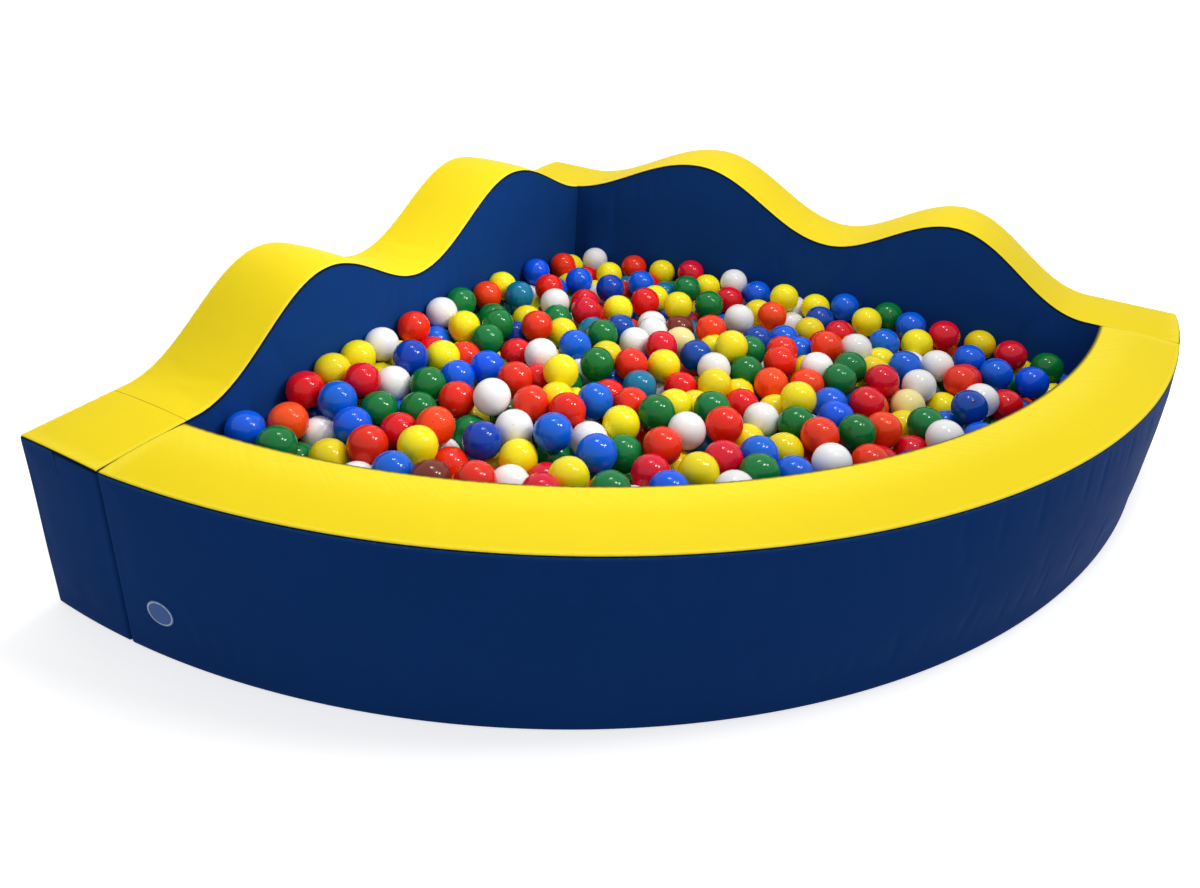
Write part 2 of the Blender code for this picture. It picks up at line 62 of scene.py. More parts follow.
# Foam blocks and their covers
NODE_PITCH = 0.0065
ACROSS_PITCH = 0.012
CORE_PITCH = 0.05
SEAM_SHARE = 0.91
TOP_RIM = 0.0045
BESIDE_RIM = (0.003, 0.008, 0.015)
TOP_BAND = 0.010
UPRIGHT_BEND = 0.007
FOOT_BAND = 0.009
TOP_CROWN = 0.005
CROWN_DEPTH = 0.03
CROWN_FADE = 0.02
FOOT_HEIGHT = 0.065
FOLD_HEIGHT = 0.012
JOINT_END = 0.003
OPEN_END = 0.007
JOINT_SWELL = 0.0028
COVER_THICKNESS = 0.0022
COVER_SINK = 0.004
CORE_INSET = 0.008
SEAM_DEPTH = 0.0012
LEFT_PIECING = 1.68
NO_PIECING = 9.0
CLOTH_CAP = 0.004
CLOTH_FRAMES = 20
CLOTH_OVERSIZE = 0.012
CLOTH_HELD_BELOW = 0.06
TOP_RELIEF = 0.22
FACE_RELIEF = 0.5
FRONT_DOCK = 1.71
DOCK_FADE = 0.06
FLAT_FADE = 0.05
FACE_FULLNESS = 0.005
SWELL_FROM = 0.33
SWELL_FADE = 0.03
PUCKER_DEPTH = 0.0014
PUCKER_REACH = 0.024
WIDE_PUCKER = 0.031
NARROW_PUCKER = 0.013
PUCKER_WANDER = 0.35
SEAM_FADE = 0.004
TUG_HEIGHT = 0.0006
TUG_PITCH = 0.024
TUG_INSIDE = 0.008
TUG_WIDTH = 0.012
FACE_WAVE = 0.0015
FACE_WAVE_PITCH = 0.55
WRINKLE_DEPTH = 0.0013
WRINKLE_PITCH = 0.05
CREASE_WANDER = 0.006
CREASE_WANDER_PITCH = 0.09
CREASE_DEPTH_PITCH = 0.05

# The cover as a cloth: its stiffness, what holds it, the pressure inside it and its oversize
CLOTH_SETTINGS = {
    "quality": 4,
    "mass": 0.3,
    "tension_stiffness": 25,
    "compression_stiffness": 25,
    "shear_stiffness": 10,
    "bending_stiffness": 0.6,
    "vertex_group_mass": "held",
    "use_pressure": True,
    "uniform_pressure_force": 3.0,
    "shrink_min": -CLOTH_OVERSIZE,
    "shrink_max": -CLOTH_OVERSIZE,
}

# Zips, strips, patch and mat
ZIP_FOOT = 0.036
ZIP_WIDTH = 0.014
ZIP_TAPE = 0.0009
ZIP_BEAD = 0.0021
TOOTH_PITCH = 0.004
WALL_ZIP_SHARES = (0.2, 0.85)
FRONT_ZIP_SHARES = (0.15, 0.85)
ZIP_BEAD_HALF = 0.0024
ZIP_HEM_FROM = 0.0068
ZIP_ROWS = np.array([-7.0, -6.6, -3.4, -2.8, -1.9, -1.0, 0.0, 1.0, 1.9, 2.8, 3.4, 6.6, 7.0]) / 1000
SURFACE_GAP = 0.0004
STRIP_THICKNESS = 0.00155
STRIP_GAP = 0.0003
STRIP_HALF_WIDTH = 0.05
STRIP_HALF_HEIGHT = 0.125
STRIP_FOOT = 0.06
STRIP_CORNER = 0.006
STRIP_STITCH = 0.003
STRIP_STITCH_HALF = 0.001
STRIP_PITCHES = (0.012, 0.015)
PATCH_DIAMETER = 0.056
PATCH_THICKNESS = 0.0019
PATCH_HEIGHT = 0.112
PATCH_ARC_SHARE = 0.035
PATCH_RING = (0.83, 0.93)
PATCH_WELD = (0.93, 0.06)
PATCH_GROOVE = (0.89, 0.03)
PATCH_CELLS = 28
PATCH_SEAT = 0.034
PATCH_SEAT_FADE = 0.04
MAT_TOP = 0.03
MAT_FOLD = 0.0277
MAT_INSET = 0.0005
MAT_TOP_COVER = 0.0018
MAT_TOP_GAP = 0.0002
MAT_TOP_TUCK = 0.0015
MAT_COVER_BEND = 0.004
MAT_FOAM_INSET = 0.003
MAT_FOAM_FOOT = 0.0025
MAT_FOAM_BELOW = 0.0008
MAT_FOAM_BEND = 0.002
MAT_DENT = 0.0007
MAT_DENT_PITCH = 0.4
WELT_DEPTH = 0.0008
WELT_FROM_RIM = 0.03
WELT_WIDTH = 0.01
MAT_LAST_SHARE = 0.994
MAT_CELLS = 44

# Balls
BALL_RADIUS = 0.04
BALL_CELLS = 3
LOOSE_BALL_CELLS = 12
CORNER_LEVEL = 0.205
LEVEL_RISE = 0.13
RISE_FROM = 0.25
LEFT_WALL_RUN = 0.45
RIGHT_WALL_RUN = 0.35
RIGHT_WALL_RISE_SHARE = 0.5
FRONT_FALL = 0.022
FRONT_FALL_FROM = 1.25
FRONT_FALL_RUN = 0.3
TOP_DROP = 0.004
BELOW_DROP = 0.032
FILL_DROP = 0.024
TOP_GIVE = 0.30
BELOW_GIVE = 0.55

# How the balls are pushed apart: slack, strengths and reach in metres, and counts of steps
LATTICE = (26, 30)
DEEP_LAYERS = 5
TOP_SLACK = 0.0003
TOP_WALL_MARGIN = 0.0035
ALONG_RAY = 1.3
RAY_HOLD = 0.12
LET_GO_SHARE = 0.2
LEVEL_PULL = 0.006
LEVEL_BELOW = 0.08
LEVEL_ABOVE = 0.022
FIRST_STEPS = 420
SECOND_STEPS = 320
FILL_PITCH = 0.0815
FILL_NEAREST = 0.066
DEEP_NEAREST = 0.056
DEEP_SPREAD = 1.015
DEEP_SHAKE = 0.009
DEEP_SLACK = 0.0004
DEEP_STEPS = 90
DEEP_WALL_MARGIN = 0.004
DEEP_ARC_SHARE = 0.7
DEEP_START_BELOW = 0.03
DEEP_END_BELOW = 0.01
PAIR_REACH = 0.1
PAIRS_FOUND_EVERY = 10
RAY_ROUNDS = 20

# The photograph's frame, and the pixels at the middles of the balls that show in it
FRAME_WIDTH = 1200
FRAME_HEIGHT = 888
BALLS_ON_TOP = {
    "red": (
        (586, 311), (537, 326), (363, 371), (515, 379), (305, 384), (476, 472), (532, 404), (634, 267),
        (694, 266), (645, 302), (945, 330), (661, 347), (882, 381), (681, 391), (960, 381), (867, 404),
        (662, 447), (651, 476), (724, 459), (816, 433), (1013, 349), (1005, 407), (542, 494), (454, 467),
    ),
    "orange": (
        (563, 265), (549, 288), (487, 295), (413, 326), (282, 399), (457, 401), (435, 426), (631, 365),
        (567, 411), (827, 346), (780, 362), (769, 386), (884, 431), (807, 386), (711, 330), (772, 316),
    ),
    "yellow": (
        (464, 326), (442, 357), (330, 362), (418, 443), (517, 460), (568, 477), (609, 275), (618, 310),
        (662, 272), (678, 306), (785, 294), (867, 321), (664, 367), (715, 387), (797, 400), (621, 425),
        (787, 451), (699, 471), (917, 344), (980, 344), (330, 459),
    ),
    "green": (
        (459, 299), (498, 324), (487, 340), (602, 335), (597, 364), (427, 385), (380, 410), (276, 432),
        (687, 289), (709, 305), (746, 371), (839, 380), (850, 368), (658, 414), (712, 409), (925, 425),
        (612, 484), (760, 471), (889, 313), (1047, 367),
    ),
    "blue": (
        (536, 271), (579, 281), (575, 346), (487, 368), (457, 378), (336, 397), (352, 425), (553, 431),
        (595, 401), (392, 471), (641, 284), (757, 294), (845, 306), (911, 325), (884, 344), (905, 367),
        (969, 360), (996, 374), (1032, 382), (836, 419), (760, 455), (793, 475), (669, 490), (247, 426),
    ),
    "navy": ((610, 288), (409, 356), (482, 445), (696, 357)),
    "teal": ((519, 295), (639, 389)),
    "white": (
        (595, 259), (439, 311), (555, 303), (541, 355), (376, 341), (393, 380), (315, 432), (514, 429),
        (589, 442), (733, 281), (739, 319), (714, 370), (817, 369), (856, 349), (937, 366), (919, 387),
        (687, 430), (762, 422), (832, 461), (981, 400), (945, 437), (736, 490), (510, 486), (635, 344),
    ),
    "cream": ((907, 408),),
    "maroon": ((429, 477),),
}
BALLS_BELOW = {
    "red": (
        (464, 357), (516, 354), (537, 381), (609, 397), (400, 430), (541, 480), (590, 500), (729, 299),
        (839, 334), (942, 346), (742, 406), (647, 442), (805, 462), (910, 451), (871, 461), (879, 463),
        (707, 493), (261, 414),
    ),
    "orange": ((631, 404), (464, 491)),
    "yellow": (
        (570, 265), (501, 283), (527, 320), (562, 333), (362, 400), (355, 352), (385, 354), (472, 427),
        (556, 397), (496, 471), (708, 285), (815, 306), (810, 331), (675, 406), (694, 408), (904, 428),
        (879, 452), (675, 470), (746, 442), (775, 408), (922, 354), (880, 363), (1020, 371), (942, 409),
    ),
    "green": (
        (411, 366), (416, 409), (299, 455), (592, 487), (771, 491), (1007, 388), (796, 422), (624, 452),
        (555, 459), (467, 435),
    ),
    "blue": ((436, 341), (784, 340), (799, 352), (830, 404)),
    "navy": ((820, 319), (757, 341), (620, 329), (310, 414), (516, 337), (682, 492)),
    "teal": ((665, 295), (704, 448)),
    "white": ((601, 297), (795, 307), (652, 326), (445, 456), (359, 478), (634, 500)),
    "cream": ((680, 342),),
    "maroon": ((679, 330),),
}


def smooth_step(value):
    """Zero below 0, one above 1, and 3v^2 - 2v^3 between."""
    v = np.clip(value, 0.0, 1.0)
    return v * v * (3 - 2 * v)


def bell(distance, width):
    """Bump of height one: exp(-(distance / width)^2)."""
    return np.exp(-((distance / width) ** 2))


def ripple(x, seed, octaves=4):
    """Even, repeatable wandering of a value: a sum of sines whose pitch nearly doubles each time."""
    total = np.zeros_like(np.asarray(x, float))
    for n in range(octaves):
        pitch = 1.93**n
        sway = 2.1 * np.sin(x * pitch + seed)
        total = total + np.sin(x * pitch * 2 * np.pi + seed * (1.7 + n) + sway) / (n + 1.0)
    return total / 2.0


def to_world(a, b, z):
    """World place of plan position (a, b): x = (b - a) / sqrt 2, y = back - (a + b) / sqrt 2."""
    x = (b - a) * COS_45
    return np.stack([x, BACK_Y - (a + b) * COS_45, z + 0 * x], axis=-1)


def to_plan(points):
    """Plan position (a, b) of world places, the reverse of to_world."""
    total = (BACK_Y - points[:, 1]) / COS_45
    difference = points[:, 0] / COS_45
    return (total - difference) / 2, (total + difference) / 2


def wall_height(along):
    """Top edge of a wall: half cosine waves between crests and dips, then flat."""
    i = np.clip(np.searchsorted(WAVE_AT, along, side="right") - 1, 0, len(WAVE_AT) - 2)
    share = np.clip((along - WAVE_AT[i]) / (WAVE_AT[i + 1] - WAVE_AT[i]), 0.0, 1.0)
    return WAVE_HEIGHT[i] + (WAVE_HEIGHT[i + 1] - WAVE_HEIGHT[i]) * (1 - np.cos(np.pi * share)) / 2


class Wall:
    """Plan of a straight wall: u runs from the back corner to the arc, q in from the outer face."""

    thickness = WALL_THICKNESS
    length = 1.89
    line_share = 1.0

    def __init__(self, start, is_left):
        self.start = start
        self.is_left = is_left

    def along(self, u, q):
        """Distance from the back corner along the wall, which ends on the arc."""
        across = np.minimum(q, self.thickness) - ARC_CENTRE_INSET
        end = ARC_CENTRE_INSET + np.sqrt(ARC_RADIUS**2 - across**2)
        return self.start + (end - self.start) * u

    def place(self, u, q):
        """Plan place of (u, q)."""
        along = self.along(u, q)
        return (along, q) if self.is_left else (q, along)

    def height(self, u, q):
        """Height of the wall's top edge at (u, q)."""
        return wall_height(self.along(u, q))

    def docked(self, u):
        """Zero where another block stands against the wall's inner face, one away from there."""
        along = self.along(u, self.thickness)
        at_arc = smooth_step((FRONT_DOCK - along) / DOCK_FADE)
        return at_arc if self.is_left else at_arc * smooth_step((along - WALL_THICKNESS) / DOCK_FADE)


class Front:
    """Plan of the curved front: u runs from its left end to its right end, q in from the outer arc."""

    thickness = FRONT_THICKNESS
    length = 2.42
    line_share = 0.12

    def place(self, u, q):
        """Plan place of (u, q), on an arc of its own radius that ends a gap off each wall."""
        radius = ARC_RADIUS - q
        start = np.arcsin((WALL_THICKNESS + MODULE_GAP - ARC_CENTRE_INSET) / radius)
        angle = start + (np.pi / 2 - 2 * start) * u
        a = ARC_CENTRE_INSET + radius * np.cos(angle)
        return a, ARC_CENTRE_INSET + radius * np.sin(angle)

    def height(self, u, q):
        """Height of the front's level top."""
        return LOW_HEIGHT + 0 * u * q

    def docked(self, u):
        """One all along the front: only balls lie against its inner face."""
        return 1.0 + 0 * u


def lattice(counts):
    """Nodes and outward quads on the surface of a block of cells, with the side each quad is on."""
    strides = ((counts[1] + 1) * (counts[2] + 1), counts[2] + 1, 1)
    quads, sides = [], []
    for axis in range(3):
        b, c = [other for other in range(3) if other != axis]
        i, j = np.meshgrid(np.arange(counts[b]), np.arange(counts[c]), indexing="ij")
        for side in (0, 1):
            base = side * counts[axis] * strides[axis] + i * strides[b] + j * strides[c]
            over = base + strides[b]
            ring = np.stack([base, over, over + strides[c], base + strides[c]], -1).reshape(-1, 4)
            outward = (axis == 1) == (side == 0)
            quads.append(ring if outward else ring[:, ::-1])
            sides.append(np.full(len(ring), axis * 2 + side))
    codes, faces = np.unique(np.concatenate(quads), return_inverse=True)
    nodes = [codes // strides[0], codes // strides[1] % (counts[1] + 1), codes % strides[1]]
    return np.stack(nodes, axis=1), faces.reshape(-1, 4), np.concatenate(sides)


def spaced(low, high, pitch):
    """Even stations from low to high, an even number of cells, near a given pitch."""
    cells = max(2, 2 * int(round((high - low) / pitch / 2)))
    return np.linspace(low, high, cells + 1)


def signed_volume(points, quads):
    """Six times the volume inside quads, positive where they point outwards: sum of p0 . (p1 x p2)."""
    corner = points[quads]
    first = (corner[:, 0] * np.cross(corner[:, 1], corner[:, 2])).sum()
    return first + (corner[:, 0] * np.cross(corner[:, 2], corner[:, 3])).sum()


def make_mesh(name, points, faces, closed=True, sharp_angle=None):
    """A smooth mesh object at the origin from arrays of places and quads that point outwards."""
    faces = np.asarray(faces, np.int32)
    if closed and signed_volume(points, faces) < 0:
        faces = faces[:, ::-1]
    mesh = bpy.data.meshes.new(name)
    mesh.vertices.add(len(points))
    mesh.vertices.foreach_set("co", np.asarray(points, np.float32).ravel())
    mesh.loops.add(faces.size)
    mesh.loops.foreach_set("vertex_index", np.ascontiguousarray(faces).ravel())
    mesh.polygons.add(len(faces))
    mesh.polygons.foreach_set("loop_start", np.arange(len(faces), dtype=np.int32) * 4)
    mesh.update(calc_edges=True)
    mesh.polygons.foreach_set("use_smooth", np.full(len(faces), True))
    if sharp_angle is not None:
        mesh.set_sharp_from_angle(angle=math.radians(sharp_angle))
    mesh.update()
    piece = bpy.data.objects.new(name, mesh)
    bpy.context.scene.collection.objects.link(piece)
    return piece


def point_attribute(piece, name, values):
    """Stores one number for each vertex of a piece."""
    layer = piece.data.attributes.new(name, "FLOAT", "POINT")
    layer.data.foreach_set("value", np.asarray(values, np.float32).ravel())


def vertex_normals(points, faces):
    """Outward direction at each node of a closed surface."""
    draft = make_mesh("draft", points, faces)
    values = np.zeros(len(points) * 3, np.float32)
    draft.data.vertex_normals.foreach_get("vector", values)
    bpy.data.objects.remove(draft)
    return values.reshape(-1, 3).astype(float)


class FoamBlock:
    """A foam block's outer surface as a lattice: u along it, q across it and w up it.

    Station w is 0 to 1 in the foot band, 1 to 2 up the face and 2 to 3 in the top band. Each edge
    is rounded: a node keeps its own closeness v to each edge, from 0 to 1, and moves to v / |v|,
    so that the band beside an edge lies on an ellipse. The seam between the covers is the ring
    of nodes at the block's top edge.
    """

    def __init__(self, plan, pitch, ends, open_ends):
        self.plan = plan
        self.ends = ends
        self.open_ends = open_ends
        quarter = np.linspace(0, 1, 5)
        rim = quarter * TOP_RIM
        beside = TOP_RIM + np.array(BESIDE_RIM)
        t = plan.thickness
        middle = spaced(beside[-1], t - beside[-1], ACROSS_PITCH)[1:-1]
        self.q = np.concatenate([rim, beside, middle, t - beside[::-1], t - rim[::-1]])
        first = quarter * ends[0] / plan.length
        last = 1 - quarter[::-1] * ends[1] / plan.length
        between = spaced(first[-1], last[0], pitch / plan.length)[1:-1]
        self.u = np.concatenate([first, between, last])
        face = np.concatenate([spaced(0.0, SEAM_SHARE, 1 / 38)[1:], np.linspace(SEAM_SHARE, 1.0, 7)[1:]])
        self.w = np.concatenate([np.linspace(0, 1, 3), 1 + face, 2 + np.linspace(0, 1, 7)[1:]])
        self.number()

    def number(self):
        """Numbers the nodes and quads for the stations that the block has."""
        self.counts = (len(self.u) - 1, len(self.q) - 1, len(self.w) - 1)
        self.nodes, self.faces, self.sides = lattice(self.counts)

    def halved(self):
        """The same block with every second station."""
        half = FoamBlock.__new__(FoamBlock)
        half.__dict__.update(self.__dict__)
        half.u, half.q, half.w = self.u[::2], self.q[::2], self.w[::2]
        half.number()
        return half

    def stations(self):
        """Values of u, q and w at each node."""
        i, j, k = self.nodes.T
        return self.u[i], self.q[j], self.w[k]

    def on_seam(self):
        """True at the nodes of the ring where the two covers meet."""
        i, j, k = self.nodes.T
        outline = (i == 0) | (i == self.counts[0]) | (j == 0) | (j == self.counts[1])
        return outline & (k == self.counts[2])

    def plain_height(self, w, height):
        """Height of a station before its edges are rounded."""
        face = height - TOP_BAND - FOOT_BAND
        low = FOOT_BAND * np.clip(w, 0, 1) + face * np.clip(w - 1, 0, 1)
        return low + TOP_BAND * np.clip(w - 2, 0, 1)

    def below_seam(self):
        """Distance of each node down from the seam, zero on the top."""
        u, q, w = self.stations()
        height = self.plan.height(u, q)
        on_top = self.nodes[:, 2] == self.counts[2]
        return np.where(on_top, 0.0, height - self.plain_height(w, height))

    def edge_distance(self):
        """Distance of each node to the nearest edge: the second smallest of those to the six sides."""
        u, q, w = self.stations()
        height = self.plan.height(u, q)
        z = self.plain_height(w, height)
        run = u * self.plan.length
        away = [run, self.plan.length - run, q, self.plan.thickness - q, z, height - z]
        return np.sort(np.stack(away), axis=0)[1]

    def face_bulge(self, u, across, z, height):
        """Fullness of the upright faces: 4 r (1 - r) times the bulge, r from the foot to the fold.

        The inner face stays flat where another block stands against it.
        """
        r = np.clip((z - FOOT_HEIGHT) / (height - FOLD_HEIGHT - FOOT_HEIGHT), 0, 1)
        fullness = FACE_FULLNESS * 4 * r * (1 - r) * across * (1 - (2 * u - 1) ** 8)
        return fullness * np.where(np.greater(across, 0), self.plan.docked(u), 1.0)

    def surface(self):
        """World places of the nodes of the full, rounded block."""
        plan = self.plan
        u, q, w = self.stations()
        height = plan.height(u, q)
        z = self.plain_height(w, height)
        near_start = np.clip(1 - u * plan.length / self.ends[0], 0, 1)
        near_end = np.clip(1 - (1 - u) * plan.length / self.ends[1], 0, 1)
        reach = TOP_RIM + (UPRIGHT_BEND - TOP_RIM) * np.clip(3 - w, 0, 1) * np.clip(w, 0, 1)
        near_outer = np.clip(1 - q / reach, 0, 1)
        near_inner = np.clip(1 - (plan.thickness - q) / reach, 0, 1)
        near_foot = np.clip(1 - w, 0, 1)
        near_top = np.clip(w - 2, 0, 1)
        every = (near_start, near_end, near_outer, near_inner, near_foot, near_top)
        size = np.sqrt(sum(v**2 for v in every))
        cut = 1 / np.maximum(size, 1) - 1
        swell = JOINT_SWELL * smooth_step((z - SWELL_FROM) / SWELL_FADE)
        at_start = near_start * (self.ends[0] * cut + swell * (not self.open_ends[0]))
        at_end = near_end * (self.ends[1] * cut + swell * (not self.open_ends[1]))
        u_moved = u + (at_end - at_start) / plan.length
        q = q + (near_inner - near_outer) * cut * reach
        z = z + near_top * cut * TOP_BAND - near_foot * cut * FOOT_BAND
        across = 2 * q / plan.thickness - 1
        crown = TOP_CROWN * (1 - across**2) * smooth_step((z - height + CROWN_DEPTH) / CROWN_FADE)
        bulge = self.face_bulge(np.clip(u, 0, 1), across, z, height)
        a, b = plan.place(u_moved, q + bulge)
        return to_world(a, b, z + crown)


def cloth_shape(block):
    """Places of a coarse cover after a short cloth simulation, and before it.

    The cover is a little larger than its foam and is pressed out from inside, while its foot and
    its seam are held, so it bulges and ripples between them.
    """
    coarse = block.halved()
    rest = coarse.surface()
    piece = make_mesh("cloth", rest, coarse.faces)
    held = (rest[:, 2] < CLOTH_HELD_BELOW) | coarse.on_seam()
    group = piece.vertex_groups.new(name="held")
    group.add(np.nonzero(held)[0].tolist(), 1.0, "REPLACE")
    cloth = piece.modifiers.new("cloth", "CLOTH")
    for label, value in CLOTH_SETTINGS.items():
        setattr(cloth.settings, label, value)
    cloth.settings.effector_weights.gravity = 0
    cloth.collision_settings.use_collision = False
    cloth.point_cache.frame_start = 1
    cloth.point_cache.frame_end = CLOTH_FRAMES
    scene = bpy.context.scene
    for step in range(1, CLOTH_FRAMES + 1):
        scene.frame_set(step)
    drawn = piece.evaluated_get(bpy.context.evaluated_depsgraph_get()).to_mesh()
    moved = np.zeros(len(rest) * 3, np.float32)
    drawn.vertices.foreach_get("co", moved)
    bpy.data.objects.remove(piece)
    scene.frame_set(1)
    return coarse, rest, moved.reshape(-1, 3).astype(float), held


def nearby_mean(field, weight):
    """Mean of a field over the few nodes on either side of each node, along each axis in turn."""
    for axis in range(3):
        reach = 4 if field.shape[axis] > 20 else 2
        total, share = field.copy(), weight.copy()
        for shift in range(1, reach + 1):
            for way in (-shift, shift):
                ends = [slice(None)] * 4
                ends[axis] = slice(0, way) if way > 0 else slice(way, None)
                for source, target in ((field, total), (weight, share)):
                    rolled = np.roll(source, way, axis)
                    rolled[tuple(ends)] = 0
                    target += rolled
        field, weight = total, share
    return field / np.maximum(weight, 1e-6)


def cloth_relief(block):
    """How far the cover moves off the plain block, at every node, from the cloth simulation.

    The wide bulge, which the block has already, is taken off by a mean over near nodes. What is
    left is capped, and it fades towards the block's edges.
    """
    coarse, rest, moved, held = cloth_shape(block)
    size = tuple(count + 1 for count in coarse.counts)
    field, weight, free = np.zeros(size + (3,)), np.zeros(size + (1,)), np.ones(size + (1,))
    spots = tuple(coarse.nodes.T)
    field[spots] = moved - rest
    weight[spots] = 1.0
    free[tuple(coarse.nodes[held].T)] = 0.0
    fine = (field - 0.8 * nearby_mean(field, weight)) * free
    length = np.linalg.norm(fine, axis=-1, keepdims=True)
    fine *= np.minimum(1.0, CLOTH_CAP / np.maximum(length, 1e-9))
    relief = np.zeros((len(block.nodes), 3))
    half = block.nodes / 2.0
    for way in range(8):
        rounding = [np.floor if way >> axis & 1 else np.ceil for axis in range(3)]
        corner = [rounding[axis](half[:, axis]).astype(int) for axis in range(3)]
        relief += fine[tuple(corner)] / 8
    on_top = block.nodes[:, 2] == block.counts[2]
    share = smooth_step(block.edge_distance() / FLAT_FADE) * np.where(on_top, TOP_RELIEF, FACE_RELIEF)
    return relief * share[:, None]


def seam_relief(block, below, inside, path, seed):
    """Seam groove, its puckers down the side and its small tugs on the top, as a height.

    The groove is one ring of nodes deep. A pucker is a sum of sines along the seam that fades
    below it as exp(-(distance / its reach)^2), and its strength wanders along the seam.
    """
    pucker = 0.55 * ripple(path / WIDE_PUCKER, seed, 3) + 0.35 * ripple(path / NARROW_PUCKER, seed + 1, 2)
    strength = 0.55 + 0.45 * ripple(path / PUCKER_WANDER, seed + 2, 2)
    side = PUCKER_DEPTH * pucker * strength * bell(below, PUCKER_REACH) * smooth_step(below / SEAM_FADE)
    tug = TUG_HEIGHT * ripple(path / TUG_PITCH, seed + 4, 3) * bell(inside - TUG_INSIDE, TUG_WIDTH)
    tug = tug * smooth_step(inside / SEAM_FADE)
    return np.where(block.on_seam(), -SEAM_DEPTH, np.where(inside > 0, tug, side))


def crease_relief(creases, run, across):
    """Narrow valleys across the top, each with a low ridge beside it: -d (bell - 0.6 bell)."""
    relief = np.zeros_like(run)
    for at, depth, width, slant in creases:
        place = run - at - slant * across - CREASE_WANDER * ripple(across / CREASE_WANDER_PITCH, at * 9, 2)
        fold = bell(place, width) - 0.6 * bell(place - 2.2 * width, 1.6 * width)
        relief -= depth * fold * (0.7 + 0.3 * ripple(across / CREASE_DEPTH_PITCH, at * 5, 2))
    return relief


def face_relief(u, run, rise, seed, streaks):
    """Slow waves of the upright faces, and upright wrinkles about one place along them."""
    hang = 4 * rise * (1 - rise)
    wave = ripple(run / FACE_WAVE_PITCH + 0.35 * rise, seed + 6, 3) * hang
    slow = FACE_WAVE * wave * smooth_step((rise - 0.12) / 0.2)
    at, strength = streaks
    wrinkle = ripple(run / WRINKLE_PITCH + 0.5 * rise, seed + 8, 2) * bell(u - at, 0.07)
    depth = WRINKLE_DEPTH * strength
    return slow + depth * wrinkle * np.sqrt(hang + 0.001) * smooth_step((rise - 0.1) / 0.1)


def clearance(block, z):
    """Zero at the nodes where the cover has to lie flat, and one away from them.

    That is under the round patch, at the ends that stand against another block, and on the walls'
    inner faces where another block stands against them.
    """
    plan = block.plan
    u, q, _ = block.stations()
    run = u * plan.length
    free = np.maximum(plan.docked(u), smooth_step((plan.thickness - q) / FLAT_FADE))
    for distance, is_open in zip((run, plan.length - run), block.open_ends):
        free = free * np.where(is_open, 1.0, smooth_step(distance / FLAT_FADE))
    if isinstance(plan, Front):
        away = np.hypot(run - PATCH_ARC_SHARE * plan.length, z - PATCH_HEIGHT)
        past_seat = smooth_step((away - PATCH_SEAT) / PATCH_SEAT_FADE)
        free = free * np.maximum(past_seat, smooth_step(q / FLAT_FADE))
    return free


def cover_relief(block, z, creases, seed, streaks):
    """Seam, creases, waves and wrinkles of a block's cover, as a height over each node."""
    plan = block.plan
    u, q, w = block.stations()
    run = u * plan.length
    on_top = block.nodes[:, 2] == block.counts[2]
    to_side = np.minimum(q, plan.thickness - q)
    inside = np.where(on_top, np.minimum(to_side, np.minimum(run, plan.length - run)), 0.0)
    side_seed = seed + np.where(q < plan.thickness / 2, 0.0, 3.1)
    relief = seam_relief(block, block.below_seam(), inside, run + q, side_seed)
    relief += np.where(on_top, crease_relief(creases, run, q - plan.thickness / 2), 0.0)
    waves = face_relief(u, run, np.clip(w - 1, 0, 1), side_seed, streaks)
    return relief + np.where(w < 2.5, waves * clearance(block, z), 0.0)


def thickened(upper, faces, normals, thickness):
    """Places and quads of a closed sheet: an open surface, its copy below, and a hem round both."""
    count = len(upper)
    edges = np.stack([faces, np.roll(faces, -1, axis=1)], axis=-1).reshape(-1, 2)
    keys = edges.min(1) * count + edges.max(1)
    _, first, uses = np.unique(keys, return_index=True, return_counts=True)
    border = edges[first[uses == 1]]
    hem = np.stack([border[:, 1], border[:, 0], border[:, 0] + count, border[:, 1] + count], axis=1)
    points = np.concatenate([upper, upper - normals * thickness])
    return points, np.concatenate([faces, faces[:, ::-1] + count, hem])


def side_cover(name, block, points):
    """Side cover: the whole block's surface, its top sunk under the top cover up to the seam."""
    u, q, _ = block.stations()
    sunk = points.copy()
    on_top = block.nodes[:, 2] == block.counts[2]
    sunk[on_top & ~block.on_seam(), 2] -= COVER_SINK
    sides = make_mesh(name + "_side_cover_soft", sunk, block.faces, sharp_angle=60)
    seam_side = np.where(q > block.plan.thickness / 2, 0.5, -1.0)
    point_attribute(sides, "seam_gap", block.below_seam() * seam_side)
    point_attribute(sides, "run", u * block.plan.length + q)
    point_attribute(sides, "piecing_gap", np.ones(len(sunk)))
    return sides


def top_cover(name, block, points, normals, piecing):
    """Top cover: a sheet over the block's top, up to the seam.

    It is pieced where its run is the piecing's, which may lie past its end.
    """
    plan = block.plan
    u, q, _ = block.stations()
    run = u * plan.length
    used, numbers = np.unique(block.faces[block.sides == 5], return_inverse=True)
    sheet = thickened(points[used], numbers.reshape(-1, 4), normals[used], COVER_THICKNESS)
    cap = make_mesh(name + "_top_cover_soft", *sheet, sharp_angle=50)
    to_end = np.minimum(run, plan.length - run)
    to_side = np.minimum(q, plan.line_share * (plan.thickness - q))
    gaps = {"seam_gap": -np.minimum(to_side, 0.35 * to_end), "piecing_gap": run - piecing, "run": run + q}
    for label, values in gaps.items():
        point_attribute(cap, label, np.tile(values[used], 2))
    return cap


def foam_covers(name, block, creases, piecing, seed, streaks):
    """Side cover and top cover of one foam block, on its cloth relief, sewn at the top edge."""
    points = block.surface()
    points = points + cloth_relief(block) * clearance(block, points[:, 2])[:, None]
    normals = vertex_normals(points, block.faces)
    relief = cover_relief(block, points[:, 2], creases, seed, streaks)
    points = points + normals * relief[:, None]
    return side_cover(name, block, points), top_cover(name, block, points, normals, piecing)


